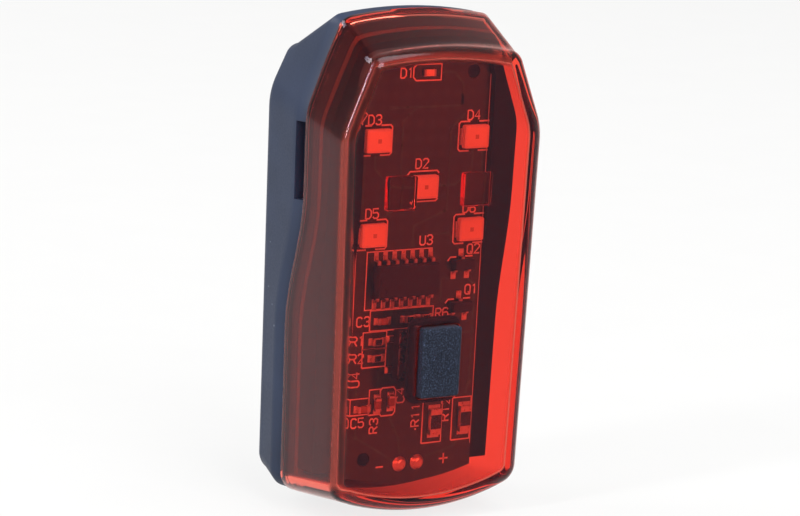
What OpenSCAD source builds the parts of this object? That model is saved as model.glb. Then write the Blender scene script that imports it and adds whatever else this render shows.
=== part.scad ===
// Bike rear light: a red lens unit that snaps on a black housing with two cells.
// Local frame: X to the right, Y backwards from the board's front, Z up from the foot of the lens face.
// The finished part is moved so that its origin is the middle of the bracket shoe's face.

/* [Outline] */
// Height of the rim's top above the lowest point of the lens face
light_h = 58.9; // [58:0.1:68]
// Width across the shoulders
shoulder_w = 28.3; // [27.8:0.1:34]
// Width across the foot
foot_w = 26.6; // [26.2:0.1:30]
// Length of the top edge
top_w = 20.6; // [19.8:0.1:24]
// Shoulders below the top of the rim
shoulder_down = 12; // [11:0.1:14]
// Rise of the curved top edge
top_bow = 1; // [0.4:0.1:1.6]
// Radius of the curved bottom edge
bottom_r = 34; // [30:0.5:60]
// Sag of the rim's bottom edge below those of the face and the back
rim_sag = 1.2; // [0:0.1:1.6]
// Corner radius at the foot
foot_r = 2.6; // [2:0.1:3.6]
// Corner radius at the shoulders
shoulder_r = 8; // [3:0.1:12]
// Corner radius at the top
top_r = 2; // [1.6:0.1:3]

/* [Lens] */
// Lens face ahead of the board
face_gap = 5.3; // [5:0.1:8]
// Wall thickness of the lens
lens_wall = 1.5; // [1.2:0.05:1.6]
// Rounding of the edge round the face
face_r = 1.6; // [0.8:0.1:2.4]
// Draft of the lens sides from the rim to the face
lens_draft = 0.15; // [0:0.05:0.5]
// Drop of the top edge from the rim to the face
face_drop = 3.6; // [1:0.1:4]
// Drop of the shoulders from the rim to the face
shoulder_drop = 1.5; // [0:0.1:2.4]
// Width of each light guide
guide_w = 3.9; // [3:0.1:5]
// Height of each light guide
guide_h = 4; // [3:0.1:5]
// Depth of each light guide behind the lens face's inside
guide_t = 1; // [0.8:0.1:1.7]
// Distance of the guides' middles from each other
guide_pitch = 10.6; // [9.6:0.1:12]

/* [Parting line] */
// Rim behind the board's front, upper part
part_top = 3.4; // [3:0.1:4.5]
// Rim behind the board's front, lower part
part_low = 6.6; // [5.5:0.1:7]
// Height where the step in the rim starts
step_low_z = 21; // [16:0.5:24]
// Height where the step in the rim ends
step_top_z = 37.5; // [32:0.5:40]
// Forward lean of the rim between the shoulders and the top
rim_lean = 1; // [0:0.1:1.6]
// Hairline gap between lens and housing
part_gap = 0.1; // [0.06:0.02:0.2]

/* [Housing] */
// Thickness of the back wall
back_wall = 1.3; // [1:0.1:2]
// Thickness of the side walls at the floor
shell_wall = 1.7; // [1.5:0.1:2.2]
// Rounding of the edge round the back
back_r = 1.8; // [1:0.1:2.2]
// Drop of the top from the rim to the back
back_fall = 4.3; // [3:0.1:5]
// Length of the top edge at the back
back_top_w = 22.4; // [20:0.1:24]
// Rise of the shoulders from the rim to the back
back_rise = 1.3; // [0:0.1:2]
// Width of the bevel along the rim
rim_w = 1.9; // [1:0.1:2.4]
// Set-in of the bevel at the rim
rim_in = 0.5; // [0.2:0.1:0.9]
// Draft of the housing sides from the rim to the back
back_draft = 0.35; // [0:0.05:0.5]
// Thickness of the tongue inside the lens
tongue_t = 0.95; // [0.8:0.05:1]
// Reach of the tongue past the rim
tongue_h = 2; // [1.2:0.1:2.2]
// Gap between tongue and lens
fit_gap = 0.12; // [0.08:0.01:0.16]
// Thickness of the seal ring
seal_t = 0.7; // [0.5:0.05:0.9]
// Thickness of the cradle ribs
rib_t = 1; // [0.8:0.1:1.2]

/* [Pry slot] */
// Height of the slot
slot_h = 9.2; // [6:0.1:12]
// Width of the slot
slot_w = 1.9; // [1.2:0.1:2.4]
// Depth of the slot in the wall
slot_deep = 1.5; // [0.8:0.1:1.7]
// Height of the slot's middle
slot_z = 41; // [36:0.1:42]

/* [Bracket shoe] */
// Width of the shoe's flanges
shoe_w = 15; // [13:0.5:18]
// Width of the neck behind the flanges
neck_w = 10.6; // [8:0.2:11]
// Length of the shoe
shoe_h = 24; // [18:0.5:30]
// Thickness of the flanges
shoe_t = 2.2; // [1.6:0.1:3]
// Groove between flanges and housing
neck_t = 2; // [1.5:0.1:3]
// Height of the shoe's middle
shoe_z = 27; // [22:0.5:30]
// Width of the latch notch in the shoe's lower end
latch_w = 5; // [3:0.1:7]
// Height of the latch notch
latch_h = 2.4; // [1.5:0.1:4]

/* [Cells] */
// Cell diameter
cell_d = 10.5; // [10:0.1:10.5]
// Room beyond the cells' ends for springs, contacts and walls
cell_room = 14.4; // [14.4:0.1:16]
// Diameter of the raised terminal
nub_d = 3.8; // [2:0.1:5]
// Height of the raised terminal
nub_h = 0.9; // [0.5:0.1:1.2]
// Distance between the cells' axes
cell_pitch = 10.7; // [10.6:0.05:10.8]
// Gap between the cells and the board
cell_gap = 0.3; // [0.2:0.05:0.6]
// Gap between the cells and their cradle
cradle_gap = 0.1; // [0.05:0.05:0.2]

/* [Contacts] */
// Sheet thickness of the cell contacts
contact_t = 0.4; // [0.3:0.05:0.5]
// Height of the lower contacts
contact_z = 4; // [3.8:0.1:4.2]
// Fitted height of the cell springs
spring_h = 3; // [2.8:0.1:3.2]
// Wire diameter of the cell springs
spring_wire = 0.5; // [0.4:0.05:0.55]
// Turns of the cell springs
spring_turns = 2.5; // [2:0.5:3]
// Outer diameter at the wide end of a spring
spring_wide = 7.4; // [6.4:0.1:8]
// Outer diameter at the narrow end of a spring
spring_narrow = 4.2; // [3.4:0.1:5]
// Distance between the board's contact fingers
finger_pitch = 2.5; // [2.3:0.1:2.7]
// Width of a contact finger
finger_w = 1.2; // [0.8:0.1:1.4]

/* [Board] */
// Board beyond the outer LEDs, both sides together
board_margin = 0.7; // [0.6:0.1:1.4]
// Board thickness
board_t = 1; // [0.8:0.1:1.2]
// Board's top edge below the top of the rim
board_down = 5.3; // [4.9:0.1:7]
// Height of the board's lowest point
board_low = 2.5; // [2.5:0.1:2.8]
// Carrier's wall round the board's upper corners
corner_wall = 0.3; // [0.2:0.05:0.3]
// Ledge of the carrier behind the board's edge
ledge_w = 0.8; // [0.5:0.1:1]
// Thickness of that ledge
ledge_t = 1; // [0.6:0.1:1.1]
// Carrier ring ahead of the board's front, upper part
ring_top = 0.8; // [0.4:0.1:1.2]
// Carrier ring behind the board's front, lower part
ring_low = 0.6; // [0.2:0.1:1]
// Height where the carrier's side rails end, below the board's foot
carrier_foot = 4.4; // [4:0.1:4.5]
// Diameter of the locating holes
peg_hole_d = 1.7; // [1.4:0.1:2]

/* [Board parts] */
// Length of a corner or centre LED
led_w = 3.5; // [2.6:0.1:3.8]
// Height of a corner or centre LED on the board
led_h = 2.8; // [2.2:0.1:3.2]
// Thickness of a corner or centre LED
led_t = 0.8; // [0.6:0.1:1.2]
// Distance between the left and right LEDs
led_pitch = 13.7; // [12.6:0.1:14]
// Height of the upper pair of LEDs
led_upper_z = 43.9; // [42.4:0.1:45]
// Height of the lower pair of LEDs
led_lower_z = 32.8; // [32.2:0.1:33.6]
// Height of the centre LED
led_centre_z = 38.2; // [37.6:0.1:38.8]
// Pitch of the control chip's leads
lead_pitch = 1.27; // [1:0.01:1.27]
// Leads along each side of the control chip
lead_count = 7; // [5:1:7]
// Width of the control chip's body
chip_h = 3.9; // [3.4:0.1:4.1]
// Span of the control chip over its leads
chip_span = 6; // [5.6:0.1:6.2]
// Thickness of the control chip's body
chip_t = 1.5; // [1:0.1:1.7]
// Length of a small chip resistor or capacitor
small_l = 1.6; // [1.2:0.1:1.8]
// Width of a small chip resistor or capacitor
small_w = 0.8; // [0.5:0.1:1]
// Thickness of a small chip resistor or capacitor
small_t = 0.5; // [0.3:0.05:0.8]
// Length of a load resistor
load_l = 3.2; // [2.6:0.1:3.6]
// Width of a load resistor
load_w = 1.6; // [1.2:0.1:1.8]
// Thickness of a load resistor
load_t = 0.6; // [0.4:0.05:0.8]

/* [Button] */
// Button width
button_w = 6; // [5:0.1:6.6]
// Button height
button_h = 8.7; // [7.5:0.1:9]
// Corner radius of the button
button_r = 0.4; // [0.3:0.1:1.5]
// Button standing proud of the lens face
button_proud = 0.9; // [0.6:0.1:1.4]
// Gap between button and lens
button_gap = 0.12; // [0.08:0.01:0.2]
// Flange of the button behind the lens
flange_w = 0.9; // [0.5:0.1:1.1]
// Thickness of that flange
flange_t = 0.7; // [0.5:0.05:0.9]
// Height of the button's middle
button_z = 18.3; // [17.6:0.1:18.8]
// Button's middle to the right of the switch
button_x = 0.6; // [0:0.1:0.8]
// Side of the tact switch
switch_w = 6; // [5:0.1:6.2]
// Thickness of the tact switch's case
switch_t = 1.5; // [1.2:0.1:1.6]
// Diameter of the switch's plunger
plunger_d = 2.4; // [1.8:0.1:2.8]
// Plunger standing proud of the switch
plunger_proud = 0.4; // [0.3:0.05:0.5]
// Travel of the button
button_travel = 0.5; // [0.3:0.05:0.5]

/* [Hidden] */
$fn = 48;

cut = 0.01;
touch = 0.05;
seat_gap = 0.06;
arc_steps = 5;
bend_step = 22.5;
side_steps = 8;

// Levels along Y
face_y = -face_gap;
face_in_y = face_y + lens_wall;
cell_y = board_t + cell_gap + cell_d / 2;
floor_y = cell_y + cell_d / 2 + 2 * cradle_gap;
back_y = floor_y + back_wall;
shoe_y = back_y + neck_t + shoe_t;

// Width of the board
board_w = led_pitch + led_w + board_margin;

// Levels along Z
shoulder_z = light_h - shoulder_down;
board_top = light_h - board_down;
cell_l = light_h - cell_room;
lower_end_z = contact_z + contact_t;
upper_end_z = lower_end_z + spring_h + cell_l + touch;

// Insets from the outline
tongue_out = lens_wall + fit_gap;
tongue_in = tongue_out + tongue_t;
carrier_out = lens_wall + seat_gap;

function lerp(a, b, t) = a + (b - a) * t;
function unit(v) = v / norm(v);
function inward(p, q) = let (d = unit([q.x - p.x, q.y - p.y])) [-d.y, d.x];
function smooth(t) = let (u = min(max(t, 0), 1)) (1 - cos(180 * u)) / 2;

// Level along Y that steps from low to top with the rim's S-curve
function s_curve(z, top, low) = lerp(low, top, smooth((z - step_low_z) / (step_top_z - step_low_z)));
function lean_y(z) = rim_lean * max((z - shoulder_z) / (light_h - shoulder_z), 0) ^ 2;
function rim_y(z) = s_curve(z, part_top, part_low) - lean_y(z);

// Outline: corners as [x, z, radius], anticlockwise from the middle of the bottom
function bottom_z(x) = bottom_r - sqrt(bottom_r ^ 2 - x ^ 2);
function corners(drop, fall, draft, top_l, sag) =
    let (
        foot_x = foot_w / 2 - draft,
        foot_z = bottom_z(foot_x) - sag,
        shoulder_x = shoulder_w / 2 - draft,
        top_x = top_l / 2,
        top_z = light_h - top_bow - drop,
        half = concat(
            [for (k = [1 : 2 : 7]) [foot_x * k / 9, bottom_z(foot_x * k / 9) - sag, 0]],
            [[foot_x, foot_z, foot_r]],
            [for (k = [0 : side_steps])
                let (z = lerp(step_low_z, step_top_z, k / side_steps))
                [lerp(foot_x, shoulder_x, (z - foot_z) / (shoulder_z - fall - foot_z)), z, 0]],
            [[shoulder_x, shoulder_z - fall, shoulder_r]],
            [[top_x, top_z, top_r]],
            [for (k = [0.6, 0.2]) [top_x * k, top_z + top_bow * (1 - k ^ 2), 0]]
        )
    )
    concat(half, [for (i = [len(half) - 1 : -1 : 0]) [-half[i].x, half[i].y, half[i].z]]);

// Points of one corner, moved in by inset and rounded
function corner_points(c, i, inset) =
    let (
        n = len(c),
        n1 = inward(c[(i + n - 1) % n], c[i]),
        n2 = inward(c[i], c[(i + 1) % n]),
        miter = (n1 + n2) / (1 + n1 * n2),
        tip = [c[i].x, c[i].y] + inset * miter,
        r = max(c[i].z - inset, 0.3),
        start = atan2(-n1.y, -n1.x),
        turn = acos(min(n1 * n2, 1))
    )
    c[i].z == 0 ? [tip] :
    [for (k = [0 : arc_steps])
        let (a = start + turn * k / arc_steps)
        tip + r * miter + r * [cos(a), sin(a)]];
function outline(c, inset) = [for (i = [0 : len(c) - 1]) each corner_points(c, i, inset)];

// Outline of the lens between face (0) and rim (1), and of the housing between rim (0) and back (1)
function lens_outline(f, inset) =
    let (drop = lerp(face_drop, 0, f), fall = lerp(shoulder_drop, 0, f), draft = lerp(lens_draft, 0, f))
    outline(corners(drop, fall, draft, top_w, rim_sag * f), inset);
function housing_outline(f, inset) =
    let (top_l = lerp(top_w, back_top_w, f), sag = lerp(rim_sag, 0, f))
    outline(corners(back_fall * f, -back_rise * f, back_draft * f, top_l, sag), inset);
function rim_outline(inset) = lens_outline(1, inset);
// Outline inside the lens at a distance ahead of the rim
function skirt_outline(ahead, inset) = lens_outline(1 - ahead / (part_top - face_y - face_r), inset);

// Rings in space: at one level, or following the rim at a distance
function flat_ring(pts, y) = [for (p = pts) [p.x, y, p.y]];
function rim_ring(pts, ahead) = [for (p = pts) [p.x, rim_y(p.y) - ahead, p.y]];
function step_ring(pts, top, low) = [for (p = pts) [p.x, s_curve(p.y, top, low), p.y]];

// Half-width of the rim's outline at a height
function half_width(z) =
    z < shoulder_z ?
        lerp(foot_w, shoulder_w, max(z, 0) / shoulder_z) / 2 :
        lerp(shoulder_w, top_w, (z - shoulder_z) / (light_h - top_bow - shoulder_z)) / 2;

// Rounded rectangle about the middle
function rectangle(w, h, r) =
    outline([[w / 2, -h / 2, r], [w / 2, h / 2, r], [-w / 2, h / 2, r], [-w / 2, -h / 2, r]], 0);

// Solid between rings of equal length, front to back, with closed ends
module loft(rings) {
    n = len(rings[0]);
    last = (len(rings) - 1) * n;
    sides = [
        for (k = [0 : len(rings) - 2], i = [0 : n - 1])
        let (a = k * n + i, b = k * n + (i + 1) % n)
        each [[a, b, b + n], [a, b + n, a + n]]
    ];
    front = [
        for (i = [0 : n / 2 - 2])
        each [[i + 1, i, n - 2 - i], [n - 2 - i, i, n - 1 - i]]
    ];
    back = [for (t = front) [t[0] + last, t[2] + last, t[1] + last]];
    polyhedron([for (r = rings) each r], concat(sides, front, back), convexity = 6);
}

// Closed ring whose section runs through the given rings
module ring_loft(rings) {
    n = len(rings[0]);
    m = len(rings);
    faces = [
        for (k = [0 : m - 1], i = [0 : n - 1])
        let (j = (i + 1) % n, next = (k + 1) % m * n)
        each [[k * n + i, k * n + j, next + j], [k * n + i, next + j, next + i]]
    ];
    polyhedron([for (r = rings) each r], faces, convexity = 6);
}

// Prism along Y of an outline drawn in X and Z
module prism(pts, y0, y1) {
    translate([0, y1, 0]) rotate([90, 0, 0]) linear_extrude(y1 - y0) polygon(pts);
}
// Box by its middle in X and Z and its two levels along Y
module block(x, z, w, h, y0, y1) {
    translate([x - w / 2, y0, z - h / 2]) cube([w, y1 - y0, h]);
}
// Cylinder along Y
module rod(x, z, d, y0, y1) {
    translate([x, y1, z]) rotate([90, 0, 0]) cylinder(d = d, h = y1 - y0);
}
module on_both_sides() {
    children();
    mirror([1, 0, 0]) children();
}

// Lens: one wall from the face to the rim, with a button opening and two light guides
module lens_wall_form() {
    inner_r = max(face_r - lens_wall, 0.3);
    loft(concat(
        [for (a = [0 : bend_step : 90])
            flat_ring(lens_outline(0, face_r * (1 - sin(a))), face_y + face_r * (1 - cos(a)))],
        [rim_ring(rim_outline(0), part_gap / 2)],
        [rim_ring(rim_outline(lens_wall), part_gap / 2)],
        [for (a = [90 : -bend_step : 0])
            let (inset = lens_wall + inner_r * (1 - sin(a)))
            flat_ring(lens_outline(0, inset), face_in_y + inner_r * (1 - cos(a)))]
    ));
}
module lens() {
    color([0.62, 0.05, 0.05, 0.6])
    union() {
        difference() {
            lens_wall_form();
            translate([button_x, 0, button_z])
            prism(rectangle(button_w + 2 * button_gap, button_h + 2 * button_gap, button_r + button_gap),
                face_y - 1, face_in_y + 1);
        }
        on_both_sides()
        block(guide_pitch / 2, led_centre_z, guide_w, guide_h,
            face_in_y - lens_wall / 2, face_in_y + guide_t);
    }
}

// Rear housing: shell with bevelled rim and tongue, cradle ribs, pry slot and bracket shoe
module housing_shell() {
    loft(concat(
        [flat_ring(housing_outline(1, shell_wall), floor_y)],
        [rim_ring(skirt_outline(tongue_h, tongue_in), tongue_h)],
        [rim_ring(skirt_outline(tongue_h, tongue_out), tongue_h)],
        [rim_ring(rim_outline(tongue_out), -part_gap / 2)],
        [rim_ring(rim_outline(rim_in), -part_gap / 2)],
        [rim_ring(rim_outline(0), -rim_w)],
        [for (a = [0 : bend_step : 90])
            flat_ring(housing_outline(1, back_r * (1 - cos(a))), back_y - back_r * (1 - sin(a)))]
    ));
}
// Rib across the housing between the cells and the floor
module cradle_rib(z) {
    reach = half_width(z + rib_t) - tongue_in + lens_wall;
    block(0, z + rib_t / 2, 2 * reach, rib_t, cell_y, floor_y + back_wall / 2);
}
// Room for both cells between their contacts
module cell_bays() {
    for (side = [-1, 1])
    translate([side * cell_pitch / 2, cell_y, lower_end_z])
    cylinder(d = cell_d + 2 * cradle_gap, h = upper_end_z - lower_end_z);
}
// Plain end rib that carries a contact
module end_rib(z) {
    block(0, z + rib_t / 2, 2 * contact_reach, rib_t, contact_front_y, floor_y + back_wall / 3);
}
module bracket_shoe() {
    difference() {
        union() {
            block(0, shoe_z, neck_w, shoe_h, back_y - back_wall / 2, shoe_y);
            translate([0, 0, shoe_z]) prism(rectangle(shoe_w, shoe_h, 1.5), back_y + neck_t, shoe_y);
        }
        block(0, shoe_z - shoe_h / 2 + latch_h, latch_w, latch_h, back_y + neck_t + shoe_t / 2, shoe_y + 1);
    }
}
contact_clear = 0.8;
contact_front_y = part_low - tongue_h - seal_t + contact_clear;
lower_rib_z = contact_z - rib_t - touch;
upper_rib_z = upper_end_z + contact_t + touch;
rib_shares = [0.18, 0.5, 0.82];
module rear_housing() {
    color([0.13, 0.14, 0.16])
    difference() {
        union() {
            housing_shell();
            for (k = rib_shares) cradle_rib(lower_end_z + spring_h + k * cell_l);
            for (z = [lower_rib_z, upper_rib_z]) end_rib(z);
            bracket_shoe();
        }
        cell_bays();
        block(-half_width(slot_z), slot_z, 2 * slot_deep, slot_h, part_top, part_top + slot_w);
    }
}

// Seal ring on the tongue's front edge
module seal_ring() {
    ahead = tongue_h + touch;
    color([0.8, 0.78, 0.74])
    ring_loft([
        rim_ring(skirt_outline(ahead, tongue_out), ahead),
        rim_ring(skirt_outline(ahead, tongue_in), ahead),
        rim_ring(skirt_outline(ahead + seal_t, tongue_in), ahead + seal_t),
        rim_ring(skirt_outline(ahead + seal_t, tongue_out), ahead + seal_t)
    ]);
}

// Dry cell standing on its flat end
module cell() {
    can_l = cell_l - nub_h;
    r = cell_d / 2;
    rotate_extrude()
    polygon([[0, 0], [r - 0.9, 0], [r - 0.7, 0.25], [r - 0.25, 0.25], [r, 0.6], [r, can_l - 0.6],
        [r - 0.4, can_l - 0.1], [nub_d / 2 + 0.8, can_l - 0.1], [nub_d / 2 + 0.5, can_l],
        [nub_d / 2, can_l], [nub_d / 2, cell_l - 0.2], [nub_d / 2 - 0.2, cell_l], [0, cell_l]]);
}
module cell_left() {
    color([0.2, 0.22, 0.26])
    translate([-cell_pitch / 2, cell_y, lower_end_z + spring_h]) cell();
}
module cell_right() {
    color([0.2, 0.22, 0.26])
    translate([cell_pitch / 2, cell_y, lower_end_z + touch + cell_l]) mirror([0, 0, 1]) cell();
}

// Coil spring with its wide end at the bottom, as points along the wire
coil_rings = 8;
function coil_point(a) =
    let (t = a / (360 * spring_turns), r = (lerp(spring_wide, spring_narrow, t) - spring_wire) / 2)
    [r * cos(a), r * sin(a), spring_wire / 2 + t * (spring_h - touch - spring_wire)];
coil_angles = [0 : 360 / coil_rings : 360 * spring_turns];
coil_points = [for (a = coil_angles) coil_point(a)];
coil_gap = min([
    for (i = [0 : len(coil_points) - 1], j = [i + coil_rings / 2 + 1 : 1 : len(coil_points) - 1])
    norm(coil_points[j] - coil_points[i])
]) - spring_wire;
echo(least_gap_of_a_spring_to_itself = coil_gap);
module coil_spring() {
    sides = 6;
    n = len(coil_points);
    rings = [
        for (i = [0 : n - 1])
        let (a = i * 360 / coil_rings, out = [cos(a), sin(a), 0])
        [for (k = [0 : sides - 1])
            let (b = k * 360 / sides)
            coil_points[i] + spring_wire / 2 * (cos(b) * out + sin(b) * [0, 0, 1])]
    ];
    walls = [
        for (i = [0 : n - 2], k = [0 : sides - 1])
        let (a = i * sides + k, b = i * sides + (k + 1) % sides)
        each [[a, b + sides, b], [a, a + sides, b + sides]]
    ];
    first = [for (k = [1 : sides - 2]) [0, k, k + 1]];
    last = [for (t = first) [(n - 1) * sides + t[0], (n - 1) * sides + t[2], (n - 1) * sides + t[1]]];
    polyhedron([for (r = rings) each r], concat(walls, first, last), convexity = 6);
}
module negative_spring() {
    color([0.72, 0.72, 0.7])
    translate([-cell_pitch / 2, cell_y, lower_end_z]) coil_spring();
}
module bridge_spring() {
    color([0.72, 0.72, 0.7])
    translate([cell_pitch / 2, cell_y, upper_end_z]) mirror([0, 0, 1]) coil_spring();
}

// Sheet contacts at the cells' ends
contact_inner = 0.5;
contact_back_y = floor_y - 0.6;
contact_reach = (cell_pitch + spring_wide) / 2;
module bridge_contact() {
    color([0.78, 0.76, 0.7])
    block(0, upper_end_z + contact_t / 2, 2 * contact_reach, contact_t, contact_front_y, contact_back_y);
}
// Lower contact with a tab that turns up towards the board's finger
tab_w = 1.6;
tab_h = 4;
finger_rise = cell_gap + 0.6;
finger_top_y = board_t + finger_rise;
module end_contact() {
    x0 = contact_inner;
    tab_y = finger_top_y + touch;
    tab_x = x0 + tab_w / 2;
    block((x0 + contact_reach) / 2, contact_z + contact_t / 2, contact_reach - x0, contact_t,
        contact_front_y, contact_back_y);
    block(tab_x, contact_z + contact_t / 2, tab_w, contact_t, tab_y, contact_front_y + cut);
    block(tab_x, contact_z + tab_h / 2, tab_w, tab_h, tab_y, tab_y + contact_t);
}
module positive_contact() {
    color([0.78, 0.76, 0.7]) end_contact();
}
module negative_contact() {
    color([0.78, 0.76, 0.7]) mirror([1, 0, 0]) end_contact();
}

// Board outline: straight sides and top, bottom arc round the outline's own middle, corners inside the carrier
ledge_in = tongue_in + 0.25;
module board_form(grow, y0, y1) {
    intersection() {
        block(0, 0, board_w + 2 * grow, 2 * (board_top + grow), y0, y1);
        rod(0, bottom_r, 2 * (bottom_r - board_low + grow), y0, y1);
        prism(skirt_outline(tongue_h + seal_t, ledge_in + corner_wall + seat_gap - grow), y0, y1);
    }
}
peg_in = 2.55;
peg_x = board_w / 2 - peg_in;
peg_gap = 0.08;
boss_wall = 0.8;
board_edge = 2;
peg_low_z = 5.8;
peg_high_z = board_top - board_edge;
pin_z = 4.8;
pin_d = 0.8;
module circuit_board() {
    color([0.3, 0.1, 0.12])
    difference() {
        board_form(0, 0, board_t);
        rod(-peg_x, peg_low_z, peg_hole_d, -1, board_t + 1);
        rod(peg_x, peg_high_z, peg_hole_d, -1, board_t + 1);
        on_both_sides() rod(finger_pitch / 2, pin_z, pin_d + 0.1, -1, board_t + 1);
    }
}

// Carrier: arch inside the lens, open at the foot, with a ledge behind the board and two locating pegs
ledge_y = board_t + touch;
carrier_rear = tongue_h + seal_t + 2 * touch;
module carrier_plug() {
    loft([
        step_ring(skirt_outline(part_top + ring_top, carrier_out), -ring_top, ring_low),
        rim_ring(skirt_outline(carrier_rear, carrier_out), carrier_rear),
        rim_ring(skirt_outline(carrier_rear, ledge_in), carrier_rear),
        flat_ring(skirt_outline(carrier_rear, ledge_in + touch), ledge_y + ledge_t)
    ]);
}
// Peg through the board on a boss with an arm from the ledge
module locating_peg(side, z) {
    boss_d = peg_hole_d + boss_wall;
    arm = board_w / 2 - peg_x;
    rod(side * peg_x, z, boss_d, ledge_y, ledge_y + ledge_t);
    block(side * (peg_x + arm / 2), z, arm, boss_d, ledge_y, ledge_y + ledge_t);
    rod(side * peg_x, z, peg_hole_d - 2 * peg_gap, peg_gap, ledge_y + cut);
}
module board_carrier() {
    color([0.1, 0.1, 0.11]) {
        difference() {
            carrier_plug();
            board_form(seat_gap, face_y, ledge_y);
            board_form(-ledge_w, 0, floor_y);
            block(0, 0, 2 * foot_w, 2 * carrier_foot, face_y, floor_y);
            cell_bays();
        }
        locating_peg(-1, peg_low_z);
        locating_peg(1, peg_high_z);
    }
}

// LED package: body with two folded leads
module led(x, z) {
    foot = 0.25;
    block(x, z, led_w, led_h, -led_t, -0.1);
    for (side = [-1, 1]) block(x + side * (led_w / 2), z, 2 * foot, led_h * 0.7, -0.35, -touch / 2);
}
module corner_leds() {
    color([1, 0.4, 0.3])
    for (x = [-1, 1], z = [led_upper_z, led_lower_z]) led(x * led_pitch / 2, z);
}
module centre_led() {
    color([1, 0.4, 0.3]) led(0, led_centre_z);
}
indicator_z = board_top - board_edge;
module indicator_led() {
    color([1, 0.5, 0.4]) {
        block(0, indicator_z, small_l, small_w, -0.3, -touch / 2);
        block(0, indicator_z, small_l * 0.65, small_w, -small_t, -0.3 + cut);
    }
}

// Bent lead, from a package's side down to the board: outline in distance from the package and height
function lead_profile(reach, rise, t) = [
    [0, rise], [0.42 * reach, rise], [0.55 * reach, t], [reach, t], [reach, 0],
    [0.45 * reach, 0], [0.32 * reach, rise - t], [0, rise - t]
];
module lead(reach, rise, w) {
    t = 0.2;
    translate([-w / 2, -touch / 2, 0])
    rotate([90, 0, 90]) linear_extrude(w)
    polygon([for (p = lead_profile(reach, rise, t)) [-p.y, p.x]]);
}
chip_x = -2.2;
chip_z = 27.3;
chip_off = 0.12;
lead_rise = 0.8;
module control_chip() {
    chip_l = lead_count * lead_pitch - 0.25;
    mark_in = 0.8;
    mark_d = 0.8;
    mark_deep = 0.12;
    color([0.16, 0.08, 0.08])
    difference() {
        block(chip_x, chip_z, chip_l, chip_h, -chip_off - chip_t, -chip_off);
        rod(chip_x - chip_l / 2 + mark_in, chip_z - chip_h / 2 + mark_in, mark_d,
            -chip_off - chip_t - 1, -chip_off - chip_t + mark_deep);
    }
}
module chip_leads() {
    reach = (chip_span - chip_h) / 2;
    color([0.9, 0.45, 0.35])
    for (i = [0 : lead_count - 1], flip = [0, 1])
    translate([chip_x + (i - (lead_count - 1) / 2) * lead_pitch, 0, chip_z])
    mirror([0, 0, flip]) translate([0, 0, chip_h / 2]) lead(reach, lead_rise, lead_w);
}

// Three-lead transistors, their single lead upwards
transistor_places = [[6, 28.6], [6, 23.5]];
transistor_size = [2.9, 1.3, 1];
transistor_lead = 0.6;
lead_w = 0.42;
module transistors() {
    color([0.14, 0.07, 0.07])
    for (p = transistor_places)
    block(p.x, p.y, transistor_size.x, transistor_size.y, -chip_off - transistor_size.z, -chip_off);
}
module transistor_leads() {
    color([0.9, 0.45, 0.35])
    for (p = transistor_places) translate([p.x, 0, p.y]) {
        translate([0, 0, transistor_size.y / 2]) lead(transistor_lead, transistor_lead, lead_w);
        mirror([0, 0, 1]) for (side = [-1, 1])
        translate([side * transistor_size.x / 3, 0, transistor_size.y / 2])
        lead(transistor_lead, transistor_lead, lead_w);
    }
}

// Chip parts: places as [x, z, turned upright]
resistor_places = [[-1, 22.4, 0], [1.3, 22.4, 0], [-5.3, 20, 0], [-5.3, 18, 0]];
capacitor_places = [[-4.7, 22.4, 0], [-6.9, 12, 0], [-4.9, 12.4, 1], [-3, 12.6, 1]];
load_places = [[3.4, 9.6, 1], [7.7, 9.6, 1]];
end_share = 0.22;
module chip_body(size, place) {
    l = size.x * (1 - 2 * end_share);
    block(place.x, place.y, place.z == 1 ? size.y : l, place.z == 1 ? l : size.y, -size.z + 0.04, -touch);
}
module chip_caps(size, place) {
    l = size.x * end_share;
    d = (size.x - l) / 2;
    for (side = [-1, 1])
    block(place.x + (place.z == 1 ? 0 : side * d), place.y + (place.z == 1 ? side * d : 0),
        place.z == 1 ? size.y : l, place.z == 1 ? l : size.y, -size.z, -touch / 2);
}
small_size = [small_l, small_w, small_t];
load_size = [load_l, load_w, load_t];
module chip_resistors() {
    color([0.15, 0.07, 0.07]) for (p = resistor_places) chip_body(small_size, p);
}
module chip_capacitors() {
    color([0.5, 0.25, 0.2]) for (p = capacitor_places) chip_body(small_size, p);
}
module chip_ends() {
    color([0.9, 0.5, 0.4]) for (p = concat(resistor_places, capacitor_places)) chip_caps(small_size, p);
}
module load_resistors() {
    color([0.15, 0.07, 0.07]) for (p = load_places) chip_body(load_size, p);
}
module load_ends() {
    color([0.9, 0.5, 0.4]) for (p = load_places) chip_caps(load_size, p);
}

// Tact switch: moulded case with four feet, sheet cover, plunger
cover_t = 0.25;
plunger_gap = 0.08;
plunger_seat_y = -0.6;
plunger_travel = button_travel / 2;
module switch_case() {
    color([0.1, 0.1, 0.1])
    difference() {
        union() {
            block(0, button_z, switch_w, switch_w, -switch_t + cover_t, -touch);
            for (x = [-1, 1], z = [-1, 1])
            block(x * (switch_w / 2 + 0.3), button_z + z * 1.85, 0.8, 0.7, -0.25, -touch / 2);
        }
        rod(0, button_z, plunger_d + 0.8, -switch_t, plunger_seat_y + plunger_travel + 0.1);
    }
}
module switch_cover() {
    color([0.8, 0.8, 0.8])
    difference() {
        block(0, button_z, switch_w, switch_w, -switch_t, -switch_t + cover_t);
        rod(0, button_z, plunger_d + 2 * plunger_gap, -switch_t - 1, 0);
    }
}
module switch_plunger() {
    color([0.12, 0.12, 0.12]) {
        rod(0, button_z, plunger_d, -switch_t - plunger_proud, plunger_seat_y);
        rod(0, button_z, plunger_d + 0.6, -switch_t + cover_t + touch, plunger_seat_y);
    }
}

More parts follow.
